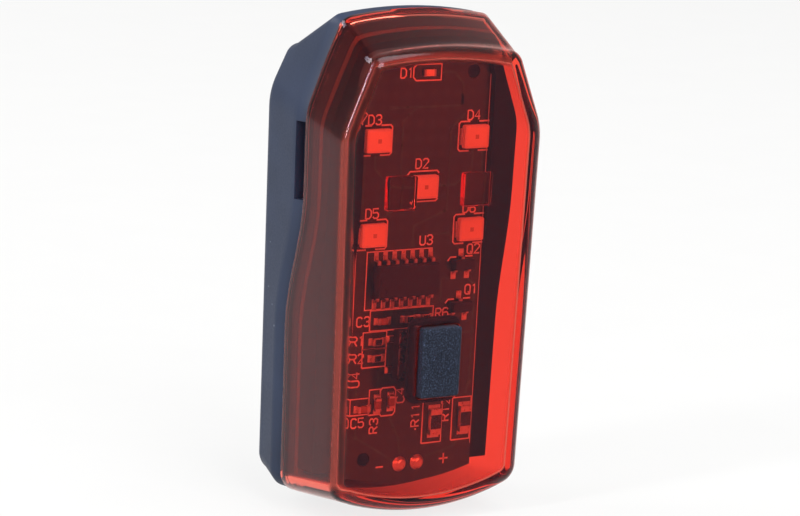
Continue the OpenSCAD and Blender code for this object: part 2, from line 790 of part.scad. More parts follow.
// Bowed contact fingers behind the board, with pins through it, and the joints on its front
finger_chord = 4;
finger_t = 0.2;
module contact_fingers() {
    bow_r = (finger_chord ^ 2 / 4 + finger_rise ^ 2) / (2 * finger_rise);
    bow_y = finger_top_y - bow_r;
    middle_z = pin_z + finger_chord / 2 - 0.4;
    color([0.78, 0.7, 0.5])
    on_both_sides() {
        intersection() {
            translate([finger_pitch / 2 - finger_w / 2, bow_y, middle_z])
            rotate([0, 90, 0])
            difference() {
                cylinder(r = bow_r, h = finger_w);
                translate([0, 0, -1]) cylinder(r = bow_r - finger_t, h = finger_w + 2);
            }
            block(finger_pitch / 2, middle_z, finger_w, finger_chord,
                board_t + touch / 2, finger_top_y + 1);
        }
        block(finger_pitch / 2, pin_z, finger_w, 1, board_t + touch / 2, board_t + finger_t);
        rod(finger_pitch / 2, pin_z, pin_d, -0.3, board_t + finger_t);
    }
}
module solder_joints() {
    bore = pin_d / 2 + 0.03;
    color([0.9, 0.5, 0.4])
    on_both_sides()
    translate([finger_pitch / 2, -touch / 2, pin_z]) rotate([90, 0, 0])
    rotate_extrude() polygon([[bore, 0], [0.95, 0], [0.8, 0.2], [0.62, 0.5], [bore, 0.6]]);
}

// Soft mode button: face, flange behind the lens and a nub over the plunger
nub_gap = 0.3;
module mode_button() {
    dish = 0.3;
    color([0.18, 0.21, 0.25])
    translate([button_x, 0, button_z]) {
        prism(rectangle(button_w, button_h, button_r),
            face_y - button_proud + dish, face_in_y + touch + cut);
        prism(rectangle(button_w - 2 * dish, button_h - 2 * dish, button_r),
            face_y - button_proud, face_y);
        prism(rectangle(button_w + 2 * flange_w, button_h + 2 * flange_w, button_r + flange_w / 2),
            face_in_y + touch, face_in_y + touch + flange_t);
        rod(-button_x, 0, plunger_d + 0.6, face_in_y, -switch_t - plunger_proud - nub_gap);
    }
}

module placed() {
    translate([0, -shoe_y, -shoe_z]) children();
}
placed() rear_housing();
placed() seal_ring();
placed() cell_left();
placed() cell_right();
placed() bridge_contact();
placed() bridge_spring();
placed() negative_contact();
placed() negative_spring();
placed() positive_contact();
placed() lens();
placed() board_carrier();
placed() circuit_board();
placed() corner_leds();
placed() centre_led();
placed() indicator_led();
placed() control_chip();
placed() chip_leads();
placed() transistors();
placed() transistor_leads();
placed() chip_resistors();
placed() chip_capacitors();
placed() chip_ends();
placed() load_resistors();
placed() load_ends();
placed() switch_case();
placed() switch_cover();
placed() contact_fingers();
placed() solder_joints();
placed() mode_button();
placed() switch_plunger();
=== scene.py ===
import bpy
import bmesh
import math
from mathutils import Matrix, Vector


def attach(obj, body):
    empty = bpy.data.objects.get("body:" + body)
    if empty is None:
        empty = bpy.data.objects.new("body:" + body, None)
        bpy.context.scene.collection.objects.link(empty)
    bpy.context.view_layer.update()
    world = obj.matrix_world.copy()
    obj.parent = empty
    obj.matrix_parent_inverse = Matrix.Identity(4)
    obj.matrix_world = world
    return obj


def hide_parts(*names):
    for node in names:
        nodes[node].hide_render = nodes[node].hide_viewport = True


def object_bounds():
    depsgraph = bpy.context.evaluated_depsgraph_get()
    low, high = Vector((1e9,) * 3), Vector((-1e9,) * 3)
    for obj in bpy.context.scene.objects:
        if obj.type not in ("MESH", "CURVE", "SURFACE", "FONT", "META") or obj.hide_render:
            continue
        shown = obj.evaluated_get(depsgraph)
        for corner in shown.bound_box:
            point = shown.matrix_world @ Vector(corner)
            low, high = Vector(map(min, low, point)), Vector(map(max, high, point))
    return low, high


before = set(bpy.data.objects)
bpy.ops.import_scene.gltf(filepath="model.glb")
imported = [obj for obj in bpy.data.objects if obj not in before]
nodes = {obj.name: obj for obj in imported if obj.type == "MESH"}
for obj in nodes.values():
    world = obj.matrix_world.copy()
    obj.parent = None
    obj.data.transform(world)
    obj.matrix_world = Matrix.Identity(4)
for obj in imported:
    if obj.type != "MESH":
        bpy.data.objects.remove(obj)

from types import SimpleNamespace as Sizes

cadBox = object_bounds()
scene = bpy.context.scene
scene.view_settings.view_transform = "Standard"
print("frame:", len(nodes), "nodes")

# Sizes are millimetres: x from the middle, y back from the board's front, z up from the foot of the lens face.
# spot() moves them to the shared frame, whose origin is the middle of the shoe's rear face, in metres.
mm = 0.001
shoeSpot = dict(y=17.5, z=27.0)


def spot(x, y, z):
    return Vector((x, y - shoeSpot["y"], z - shoeSpot["z"])) * mm


def mix(a, b, t):
    return a + (b - a) * t


# Materials
def hexLinear(code):
    values = [int(code[i:i + 2], 16) / 255 for i in (1, 3, 5)]
    return tuple(v / 12.92 if v <= 0.04045 else ((v + 0.055) / 1.055) ** 2.4 for v in values) + (1.0,)


def perMm(size):  # texture scale for a pattern this many millimetres across
    return 1000.0 / size


def setInputs(tree, node, inputs):  # links sockets and the first outputs of nodes, sets plain values and hex colours
    for key, value in inputs.items():
        if isinstance(value, bpy.types.Node):
            value = value.outputs[0]
        if isinstance(value, bpy.types.NodeSocket):
            tree.links.new(value, node.inputs[key])
        else:
            node.inputs[key].default_value = hexLinear(value) if isinstance(value, str) else value


def addNode(tree, kind, inputs=None, **settings):  # kind is the node's name without the prefix of its tree
    node = tree.nodes.new(tree.bl_idname.replace("Tree", kind))
    for key, value in settings.items():
        setattr(node, key, value)
    setInputs(tree, node, inputs or {})
    return node


def startMaterial(name, values):
    material = bpy.data.materials.new(name)
    material.use_nodes = True
    tree = material.node_tree
    shader = tree.nodes["Principled BSDF"]
    setInputs(tree, shader, values)
    coords = addNode(tree, "TexCoord").outputs["Object"]
    return material, tree, shader, coords


def finishSurface(tree, shader, share, dark, light, pattern, rough, relief, span=(0.3, 0.7), height=None):
    # colour goes from dark to light with the share; roughness and, unless a height is given, bump follow the pattern
    colour = addNode(tree, "Mix", {0: share, 6: dark, 7: light}, data_type="RGBA")
    gloss = addNode(tree, "MapRange", {"Value": pattern, "From Min": span[0], "From Max": span[1],
        "To Min": rough[0], "To Max": rough[1]})
    bump = addNode(tree, "Bump", {"Height": pattern if height is None else height, "Strength": relief[0],
        "Distance": relief[1] * mm})
    setInputs(tree, shader, {"Base Color": colour.outputs[2], "Roughness": gloss, "Normal": bump})


lensLook = dict(ior=1.585, colour="#FF9482", wallTint=(0.98, 0.35, 0.2, 1.0), density=250.0, cornerBlur=0.4,
    flatShine=(0.14, 0.13, 0.22, 1.0), edgeShine=(0.4, 0.4, 0.46, 1.0), slantShine=(1.0, 1.0, 1.0, 1.0))


def makePolycarbonate():
    # polycarbonate, moulded and polished: clear red that darkens along the wall, with faint handling marks
    look = Sizes(**lensLook)
    material, tree, shader, coords = startMaterial("polycarbonate_red", {
        "IOR": look.ior, "Transmission Weight": 1.0, "Base Color": look.colour})
    marks = addNode(tree, "TexNoise", {"Vector": coords, "Scale": perMm(0.35), "Detail": 4.0, "Roughness": 0.7})
    rough = addNode(tree, "MapRange", {"Value": marks, "From Min": 0.5, "From Max": 0.8,
        "To Min": 0.015, "To Max": 0.045})
    corner = addNode(tree, "Attribute", attribute_name="innerCorner")  # left as moulded, so it blurs
    blur = addNode(tree, "Math", {0: corner.outputs["Fac"], 1: look.cornerBlur, 2: rough}, operation="MULTIPLY_ADD")
    facing = addNode(tree, "LayerWeight", {"Blend": 0.5})
    clear = addNode(tree, "MapRange", {"Value": facing.outputs["Facing"], "From Min": 0.58,
        "From Max": 1.0, "To Min": 1.0, "To Max": 0.6})
    flow = addNode(tree, "TexNoise", {"Vector": coords, "Scale": perMm(4.0)})
    bump = addNode(tree, "Bump", {"Height": flow, "Strength": 0.05, "Distance": 0.02 * mm})
    slant = addNode(tree, "Fresnel", {"IOR": look.ior})
    share = addNode(tree, "MapRange", {"Value": slant, "From Min": 0.15, "From Max": 0.6})
    edge = addNode(tree, "Attribute", attribute_name="outerEdge")  # shines more than the flats
    flat = addNode(tree, "Mix", {0: edge.outputs["Fac"], 6: look.flatShine, 7: look.edgeShine}, data_type="RGBA")
    shine = addNode(tree, "Mix", {0: share, 6: flat.outputs[2], 7: look.slantShine}, data_type="RGBA")
    setInputs(tree, shader, {"Roughness": blur, "Transmission Weight": clear,
        "Normal": bump, "Specular Tint": shine.outputs[2]})
    volume = addNode(tree, "VolumeAbsorption", {"Color": look.wallTint, "Density": look.density})
    setInputs(tree, tree.nodes["Material Output"], {"Volume": volume})
    return material


def makeAbs(name, dark, light, rough, shine):
    # ABS from a spark-eroded mould: satin black, fine even grain, a few dust specks
    material, tree, shader, coords = startMaterial(name, {"IOR": 1.53, "Specular IOR Level": shine})
    cloud = addNode(tree, "TexNoise", {"Vector": coords, "Scale": perMm(6.0), "Detail": 3.0})
    base = addNode(tree, "Mix", {0: cloud, 6: dark, 7: light}, data_type="RGBA")
    dust = addNode(tree, "TexVoronoi", {"Vector": coords, "Scale": perMm(2.6)})
    speck = addNode(tree, "MapRange", {"Value": dust, "From Min": 0.03,
        "From Max": 0.055, "To Min": 0.5, "To Max": 0.0})
    grain = addNode(tree, "TexNoise", {"Vector": coords, "Scale": perMm(0.22), "Detail": 2.0, "Roughness": 0.6})
    finishSurface(tree, shader, speck, base.outputs[2], "#8C93A0", grain, (rough - 0.06, rough + 0.08), (0.25, 0.02))
    return material


def makeRubber(name, dark, light, size, rough):
    # silicone rubber, moulded: soft sheen, with a fine pale bloom in the grain
    material, tree, shader, coords = startMaterial(name, {"IOR": 1.43, "Specular IOR Level": 0.25,
        "Sheen Weight": 0.05, "Sheen Roughness": 0.4})
    grain = addNode(tree, "TexNoise", {"Vector": coords, "Scale": perMm(size), "Detail": 3.0, "Roughness": 0.7})
    bloom = addNode(tree, "MapRange", {"Value": grain, "From Min": 0.5, "From Max": 0.8})
    finishSurface(tree, shader, bloom, dark, light, grain, (rough - 0.08, rough + 0.1), (0.4, 0.03))
    return material


def makeLaminate(name, dark, light, rough):
    # solder mask on glass laminate: deep glossy green with the weave just showing
    material, tree, shader, coords = startMaterial(name, {"IOR": 1.55, "Coat Weight": 0.25, "Coat Roughness": 0.15})
    across, along = (addNode(tree, "TexWave", {"Vector": coords, "Scale": perMm(0.9) / 6.28,
        "Distortion": 1.2, "Detail": 1.0}, bands_direction=way) for way in ("X", "Z"))
    weave = addNode(tree, "Math", {0: across.outputs["Fac"], 1: along.outputs["Fac"]}, operation="MULTIPLY")
    cloud = addNode(tree, "TexNoise", {"Vector": coords, "Scale": perMm(0.6)})
    finishSurface(tree, shader, weave, dark, light, cloud, (rough - 0.08, rough + 0.08),
        (0.15, 0.02), (0.0, 1.0), weave)
    return material


def makeMetal(name, dark, light, size, rough):
    # rolled or plated metal: bright, dulled in soft patches
    material, tree, shader, coords = startMaterial(name, {"Metallic": 1.0})
    patch = addNode(tree, "TexNoise", {"Vector": coords, "Scale": perMm(size), "Detail": 3.0})
    finishSurface(tree, shader, patch, dark, light, patch, (rough - 0.07, rough + 0.1), (0.2, 0.01))
    return material


def makeResin(name, dark, light, size, rough, ior=1.54):
    # moulded resin, ceramic, film or ink with a fine filler grain
    material, tree, shader, coords = startMaterial(name, {"IOR": ior})
    grain = addNode(tree, "TexNoise", {"Vector": coords, "Scale": perMm(size), "Detail": 2.0, "Roughness": 0.6})
    finishSurface(tree, shader, grain, dark, light, grain, (rough - 0.08, rough + 0.08), (0.2, 0.015))
    return material


lensRed = makePolycarbonate()
# the housing's blue-grey colours are black ABS with a painted bluish sheen of the studio light laid into them
housingAbs = makeAbs("abs_black_grained", "#1C2333", "#283146", 0.45, 0.2)
carrierAbs = makeAbs("abs_black_inner", "#1E1A1C", "#282326", 0.6, 0.04)
# the seal's pale grey is natural silicone. It is kept light so it also shows through the lens as a painted highlight
# line where the seal meets the lens
sealRubber = makeRubber("silicone_seal_grey_and_glint", "#57544E", "#6D6A63", 0.3, 0.55)
buttonRubber = makeRubber("silicone_button_slate", "#060B19", "#46536F", 0.17, 0.66)
boardMask = makeLaminate("solder_mask_green", "#1F362B", "#294437", 0.32)
trackMask = makeLaminate("solder_mask_over_copper", "#27523C", "#2F5F47", 0.3)
legendInk = makeResin("legend_ink_white", "#DCD8D0", "#F4F2EC", 0.15, 0.6)
solderTin = makeMetal("solder_tin", "#B9B7B2", "#E6E4DF", 0.4, 0.32)
leadTin = makeMetal("copper_lead_tinned", "#A9A7A3", "#D6D4CF", 0.3, 0.36)
springSteel = makeMetal("spring_steel_nickel", "#A9A7A2", "#D2D0CB", 0.8, 0.25)
fingerBronze = makeMetal("phosphor_bronze", "#B98A4A", "#DDB473", 0.6, 0.28)
chipEpoxy = makeResin("epoxy_black", "#101012", "#232327", 0.1, 0.55)
resistorGlaze = makeResin("resistor_glaze_black", "#15151A", "#24242A", 0.2, 0.25)
resistorCeramic = makeResin("alumina_white", "#C9C6BE", "#E2DFD7", 0.1, 0.6)
ledBody = makeResin("led_resin_white", "#DDD9D0", "#F3F0E8", 0.2, 0.4)
ledGel = makeResin("led_silicone_gel", "#F0E6CC", "#F8F0DC", 0.3, 0.18, 1.41)
ledDie = makeResin("led_die_amber", "#B9A68C", "#CDBCA2", 0.1, 0.4)
capCeramic = makeResin("capacitor_ceramic_tan", "#8A6A4A", "#A98A66", 0.12, 0.5)
cellSleeve = makeResin("cell_film_slate", "#232C3C", "#2C374A", 0.5, 0.28)
cellBand = makeResin("cell_film_copper", "#8C5A3A", "#A8724C", 0.4, 0.3)
print("materials:", len(bpy.data.materials))

# Mesh helpers
weldGap = 1e-7  # metres


def toMesh(bm, name):
    mesh = bpy.data.meshes.new(name)
    bm.to_mesh(mesh)
    bm.free()
    return mesh


def fromMesh(mesh):
    bm = bmesh.new()
    bm.from_mesh(mesh)
    return bm


def newObject(name, data):
    item = bpy.data.objects.new(name, data)
    scene.collection.objects.link(item)
    return item


def settled(item):  # an object's mesh with its modifiers applied
    return bpy.data.meshes.new_from_object(item.evaluated_get(bpy.context.evaluated_depsgraph_get()))


def newPiece(name, bm, material, stands=(), sharp=35, body="front_unit"):
    bmesh.ops.remove_doubles(bm, verts=bm.verts, dist=weldGap)
    bmesh.ops.recalc_face_normals(bm, faces=bm.faces)
    for face in bm.faces:
        face.smooth = True
        face.material_index = 0
    for edge in bm.edges:
        edge.smooth = len(edge.link_faces) == 2 and edge.calc_face_angle(0) < math.radians(sharp)
    mesh = toMesh(bm, name)
    mesh.materials.append(material)
    piece = newObject(name, mesh)
    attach(piece, body)
    if stands:
        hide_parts(*stands)
    return piece


def addRings(bm, rings, closed=False):
    loops = [[bm.verts.new(p) for p in ring] for ring in rings]
    for a, b in zip(loops, loops[1:] + (loops[:1] if closed else [])):
        for i in range(len(a)):
            j = (i + 1) % len(a)
            bm.faces.new((a[i], a[j], b[j], b[i]))
    return loops


def addSolid(bm, rings):  # rings with a face over each end
    loops = addRings(bm, rings)
    bm.faces.new(loops[0])
    bm.faces.new(loops[-1])


def fillFlat(bm, *loops):  # flat cap over the first loop, open at the others
    edges = []
    for loop in loops:
        for i, vert in enumerate(loop):
            pair = (loop[i - 1], vert)
            edges.append(bm.edges.get(pair) or bm.edges.new(pair))
    bmesh.ops.triangle_fill(bm, use_beauty=True, edges=edges)


def arc(cx, cz, r, start, end, steps):
    angles = [mix(start, end, k / steps) for k in range(steps + 1)]
    return [(cx + r * math.cos(a), cz + r * math.sin(a)) for a in angles]


def roundRect(x, z, w, h, r, steps=4):
    points = []
    for k, (sx, sz) in enumerate(((1, 1), (-1, 1), (-1, -1), (1, -1))):
        points += arc(x + sx * (w / 2 - r), z + sz * (h / 2 - r), r, k * math.pi / 2, (k + 1) * math.pi / 2, steps)
    return points


def flatRing(points, y):
    return [spot(x, y, z) for x, z in points]


def between(ringA, ringB, steps):  # rings on straight lines from one to the other, ends left out
    return [[a.lerp(b, k / steps) for a, b in zip(ringA, ringB)] for k in range(1, steps)]


def addStack(bm, x, z, w, h, r, levels, steps=4):  # block of rounded rectangles, each level an inset and a y
    smallest = 0.015
    addSolid(bm, [flatRing(roundRect(x, z, w - 2 * i, h - 2 * i, max(r - i, smallest), steps), y) for i, y in levels])


def softLevels(back, front, edge):  # block levels with both edges rounded
    part = 0.3 * edge
    return [(edge, back), (part, back - part), (0, back - edge), (0, front + edge), (part, front + part), (edge, front)]


def addLathe(bm, x, y, profile, sides=48):  # turned about an upright axis, each point a radius and a z
    turns = [2 * math.pi * k / sides for k in range(sides)]
    addSolid(bm, [[spot(x + r * math.cos(a), y + r * math.sin(a), z) for a in turns] for r, z in profile])


# Geometry Nodes trees for repeats and paths
def startTree(name, **sockets):
    tree = bpy.data.node_groups.new(name, "GeometryNodeTree")
    tree.interface.new_socket("Geometry", in_out="INPUT", socket_type="NodeSocketGeometry")
    for key, kind in sockets.items():
        tree.interface.new_socket(key, in_out="INPUT", socket_type="NodeSocket" + kind)
    tree.interface.new_socket("Geometry", in_out="OUTPUT", socket_type="NodeSocketGeometry")
    return tree, tree.nodes.new("NodeGroupInput").outputs


def endTree(tree, geometry, finish):  # copies made real, with their material
    plain = addNode(tree, "RealizeInstances", {"Geometry": geometry})
    done = addNode(tree, "SetMaterial", {"Geometry": plain, "Material": finish})
    setInputs(tree, tree.nodes.new("NodeGroupOutput"), {"Geometry": done})
    return tree


def sweepAndPlace(tree, given, path, section, turn):  # solid of a section along a path, turned and put in place
    solid = addNode(tree, "CurveToMesh", {"Curve": path, "Fill Caps": True, "Profile Curve": section})
    stood = addNode(tree, "Transform", {"Geometry": solid, "Rotation": turn, "Translation": given["Place"]})
    return endTree(tree, stood, given["Finish"])


def makeRowTree():
    tree, given = startTree("row_of_copies", Count="Int", Step="Vector", Finish="Material")
    line = addNode(tree, "MeshLine", {"Count": given["Count"], "Offset": given["Step"]})
    copies = addNode(tree, "InstanceOnPoints", {"Points": line, "Instance": given["Geometry"]})
    return endTree(tree, copies, given["Finish"])


def makeStrokeTree():  # flat strokes along drawn lines, laid on an upright face that looks forward
    tree, given = startTree("printed_strokes", Width="Float", Thickness="Float", Place="Vector", Finish="Material")
    path = addNode(tree, "MeshToCurve", {"Mesh": given["Geometry"]})
    level = addNode(tree, "SetCurveNormal", {"Curve": path}, mode="Z_UP")
    section = addNode(tree, "CurvePrimitiveQuadrilateral", {"Width": given["Width"], "Height": given["Thickness"]})
    return sweepAndPlace(tree, given, level, section, (math.pi / 2, 0, 0))


def makeCoilTree():
    tree, given = startTree("coil_spring", Turns="Float", Wide="Float", Narrow="Float", Height="Float", Wire="Float",
        Place="Vector", Turn="Vector", Finish="Material")
    coil = addNode(tree, "CurveSpiral", {
        "Resolution": 40, "Rotations": given["Turns"], "Start Radius": given["Wide"], "End Radius": given["Narrow"],
        "Height": given["Height"]})
    section = addNode(tree, "CurvePrimitiveCircle", {"Resolution": 12, "Radius": given["Wire"]})
    return sweepAndPlace(tree, given, coil, section, given["Turn"])


rowTree = makeRowTree()
strokeTree = makeStrokeTree()
coilTree = makeCoilTree()


def runTree(tree, source, **values):  # evaluates a tree on a mesh and gives back plain geometry
    holder = newObject("holder", source)
    modifier = holder.modifiers.new("tree", "NODES")
    modifier.node_group = tree
    for item in tree.interface.items_tree:
        if item.in_out == "INPUT" and item.name in values:
            modifier[item.identifier] = values[item.name]
    plain = settled(holder)
    bpy.data.objects.remove(holder)
    return fromMesh(plain)


def drawStrokes(lines, width, thickness, y, material):
    points, edges = [], []
    for line in lines:
        start = len(points)
        points += [(x * mm, z * mm, 0) for x, z in line]
        edges += [(start + k, start + k + 1) for k in range(len(line) - 1)]
    mesh = bpy.data.meshes.new("lines")
    mesh.from_pydata(points, edges, [])
    return runTree(strokeTree, mesh, Width=width * mm, Thickness=thickness * mm, Place=spot(0, y, 0), Finish=material)


# The light's own form: outline from foot to top, and the stepped parting line
lightForm = dict(height=58.85, shoulderW=28.29, footW=26.59, topW=20.6, shoulderDown=11.95, topBow=0.95, bottomR=34.0,
    rimSag=1.16, footR=2.6, shoulderR=8.0, topR=2.0, leastR=0.3, partTop=3.4, partLow=6.6, stepLow=21.0,
    stepTop=37.5, rimLean=1.0, gap=0.1, footParts=15, footPoints=12, sideParts=24, sideLead=8,
    slantAt=(0.45, 0.6), topAt=(0.75, 0.6, 0.45, 0.3, 0.15, 0.05))
# a quarter round: how far its points lie from the two flats it joins, as shares of the radius
quarter = [(1 - math.sin(a), 1 - math.cos(a)) for a in (math.radians(9 * k) for k in range(11))]


def rimY(z):
    f = Sizes(**lightForm)
    u = min(max((z - f.stepLow) / (f.stepTop - f.stepLow), 0), 1)
    lean = f.rimLean * max((z - f.height + f.shoulderDown) / f.shoulderDown, 0) ** 2
    return mix(f.partLow, f.partTop, (1 - math.cos(math.pi * u)) / 2) - lean


def halfOutline(drop, fall, draft, topL, sag):  # right half from foot to top, each point an x, a z and a radius
    f = Sizes(**lightForm)
    footX = f.footW / 2 - draft
    shoulder = (f.shoulderW / 2 - draft, f.height - f.shoulderDown - fall)
    top = (topL / 2, f.height - f.topBow - drop)

    def low(x):
        return f.bottomR - math.sqrt(f.bottomR ** 2 - x * x) - sag

    along = [footX * (k + 0.5) / f.footParts for k in range(f.footPoints)]
    half = [(x, low(x), 0) for x in along] + [(footX, low(footX), f.footR)]
    for k in range(f.sideParts + 1):
        z = mix(f.stepLow - f.sideLead, f.stepTop, k / f.sideParts)
        half.append((mix(footX, shoulder[0], (z - low(footX)) / (shoulder[1] - low(footX))), z, 0))
    half.append((*shoulder, f.shoulderR))
    half += [(mix(shoulder[0], top[0], t), mix(shoulder[1], top[1], t), 0) for t in f.slantAt]
    half.append((*top, f.topR))
    return half + [(top[0] * k, top[1] + f.topBow * (1 - k * k), 0) for k in f.topAt]


def lightOutline(drop, fall, draft, topL, sag, inset, arcSteps=10):
    half = halfOutline(drop, fall, draft, topL, sag)
    corners = half + [(-x, z, r) for x, z, r in reversed(half)]
    points = []
    for i, (x, z, r) in enumerate(corners):
        here = Vector((x, z))
        d1 = (here - Vector(corners[i - 1][:2])).normalized()
        d2 = (Vector(corners[(i + 1) % len(corners)][:2]) - here).normalized()
        n1 = Vector((-d1.y, d1.x))
        n2 = Vector((-d2.y, d2.x))
        miter = (n1 + n2) / (1 + n1.dot(n2))
        tip = here + miter * inset
        if r == 0:
            points.append((tip.x, tip.y))
            continue
        r = max(r - inset, lightForm["leastR"])
        start = math.atan2(-n1.y, -n1.x)
        centre = tip + miter * r
        points += arc(centre.x, centre.y, r, start, start + math.acos(min(n1.dot(n2), 1)), arcSteps)
    return points


def rimRing(points, ahead):
    return [spot(x, rimY(z) - ahead, z) for x, z in points]


# Lens: one wall from the face to the rim, button opening and two guide blocks behind the face
lensSizes = dict(faceY=-5.3, wall=1.5, faceR=1.6, innerR=0.4, skirtR=1.6, draft=0.15, drop=3.6, shoulderDrop=1.5,
    rimR=0.18, flatEdge=0.08, wallSteps=8, guideW=3.9, guideH=4.0, guideT=1.0, guideR=0.25,
    guidePitch=10.6, guideZ=38.2, guideEdge=((0, 0.15), (0.06, 0.05), (0.2, 0)), holeX=0.33, holeZ=18.15,
    holeW=5.69, holeH=8.64, holeR=0.52, holeEdge=0.18, holeFlat=0.1)


def lensOutline(f, inset):
    s = Sizes(**lensSizes)
    return lightOutline(mix(s.drop, 0, f), mix(s.shoulderDrop, 0, f), mix(s.draft, 0, f), lightForm["topW"],
        lightForm["rimSag"] * f, inset)


def skirtOutline(ahead, inset):
    return lensOutline(1 - ahead / (lightForm["partTop"] - lensSizes["faceY"] - lensSizes["skirtR"]), inset)


def makeLens():
    s = Sizes(**lensSizes)
    face, wall, faceR, innerR, rimR, steps = s.faceY, s.wall, s.faceR, s.innerR, s.rimR, s.wallSteps
    inY = face + wall
    gap = lightForm["gap"] / 2
    few = quarter[::2]
    outer = [flatRing(lensOutline(0, faceR + s.flatEdge), face)]
    outer += [flatRing(lensOutline(0, faceR * u), face + faceR * v) for u, v in quarter]
    rimOut = [rimRing(lensOutline(1, rimR * v), gap + rimR * u) for u, v in few]
    rimIn = [rimRing(lensOutline(1, wall - rimR * u), gap + rimR * v) for u, v in few]
    inner = [flatRing(lensOutline(0, wall + innerR * u), inY + innerR * v) for u, v in reversed(few)]
    inner.append(flatRing(lensOutline(0, wall + innerR + s.flatEdge), inY))
    bm = bmesh.new()
    corner = bm.verts.layers.float.new("innerCorner")
    edge = bm.verts.layers.float.new("outerEdge")
    loops = addRings(bm, outer + between(outer[-1], rimOut[0], steps) + rimOut + rimIn
        + between(rimIn[-1], inner[0], steps) + inner)
    for layer, marked in ((corner, loops[-len(inner):-1]), (edge, loops[2:len(outer) - 1])):
        for vert in sum(marked, []):
            vert[layer] = 1.0
    e = s.holeEdge
    levels = [(e, s.holeFlat, face)] + [(e * u, 0, face + e * v) for u, v in few] + [(0, 0, inY)]
    hole = addRings(bm, [flatRing(roundRect(s.holeX, s.holeZ, s.holeW + 2 * i + more,
        s.holeH + 2 * i + more, s.holeR + i, 6), y) for i, more, y in levels])
    guides = []
    for x in (-s.guidePitch / 2, s.guidePitch / 2):
        levels = [(0, inY)] + [(i, inY + (s.guideT - short)) for i, short in s.guideEdge]
        block = addRings(bm, [flatRing(roundRect(x, s.guideZ, s.guideW - 2 * i, s.guideH - 2 * i,
            s.guideR, 3), y) for i, y in levels])
        bm.faces.new(block[-1])
        guides.append(block[0])
    fillFlat(bm, loops[0], hole[0])
    fillFlat(bm, loops[-1], hole[-1], *guides)
    piece = newPiece("lens_shell", bm, lensRed, ["lens"], 40)
    print("lens:", len(piece.data.polygons), "faces")


makeLens()

# Housing: shell with bevelled rim and tongue, ribs that carry the cells, pry slot, bracket shoe
housingSizes = dict(floorY=12.0, floorR=0.6, backY=13.3, backR=1.8, backFlat=0.1, backFall=4.3, backTopW=22.4,
    backRise=1.3, rimW=1.9, rimIn=0.5, draft=0.35, wall=1.7, tongueT=0.95, tongueH=2.0, fit=0.12,
    slotH=9.2, slotW=1.9, slotDeep=1.5, slotZ=41.0, slotR=0.25, shoeW=15.0, shoeR=1.5, shoeEdge=0.3,
    neckW=10.6, neckR=0.4, shoeH=24.0, shoeT=2.2, neckT=2.0, latchW=5.0, latchH=2.4, shoeZ=27.0,
    ribT=1.0, ribW=22.6, ribsZ=(15.4, 29.7, 43.9), endRibsZ=(3.0, 52.35), endFront=4.7, endHalf=9.0)
cellSizes = dict(d=10.5, length=44.5, pitch=10.7, y=6.55, lowZ=4.4, highZ=51.95, bayGap=0.1, nubD=3.8, nubH=0.9,
    springH=3.0, seat=0.02)


def housingOutline(f, inset):
    s = Sizes(**housingSizes)
    return lightOutline(s.backFall * f, -s.backRise * f, s.draft * f, mix(lightForm["topW"], s.backTopW, f),
        mix(lightForm["rimSag"], 0, f), inset)


def combine(base, operation, bm):  # exact boolean of one mesh with another, as a new mesh
    bmesh.ops.recalc_face_normals(bm, faces=bm.faces)
    tool = newObject("tool", toMesh(bm, "tool"))
    holder = newObject("holder", base)
    modifier = holder.modifiers.new("cut", "BOOLEAN")
    modifier.operation = operation
    modifier.solver = "EXACT"
    modifier.use_self = True
    modifier.object = tool
    plain = settled(holder)
    for item in (tool, holder):
        bpy.data.objects.remove(item)
    return plain


def housingShell():
    s = Sizes(**housingSizes)
    tongueOut = lensSizes["wall"] + s.fit
    tongueIn = tongueOut + s.tongueT
    gap = -lightForm["gap"] / 2
    floor = [flatRing(housingOutline(1, s.wall + s.floorR), s.floorY),
        flatRing(housingOutline(1, s.wall), s.floorY - s.floorR)]
    tip = [rimRing(skirtOutline(s.tongueH, inset), s.tongueH) for inset in (tongueIn, tongueOut)]
    bevel = [(tongueOut, gap), (s.rimIn + 0.12, gap), (s.rimIn, gap - 0.14), (0.05, -s.rimW + 0.2), (0, -s.rimW - 0.15)]
    rim = [rimRing(lensOutline(1, inset), ahead) for inset, ahead in bevel]
    back = [flatRing(housingOutline(1, s.backR * v), s.backY - s.backR * u) for u, v in quarter]
    back.append(flatRing(housingOutline(1, s.backR + s.backFlat), s.backY))
    bm = bmesh.new()
    loops = addRings(bm, floor + between(floor[-1], tip[0], 6) + tip + rim + between(rim[-1], back[0], 8) + back)
    fillFlat(bm, loops[0])
    fillFlat(bm, loops[-1])
    bmesh.ops.recalc_face_normals(bm, faces=bm.faces)
    return toMesh(bm, "shell")


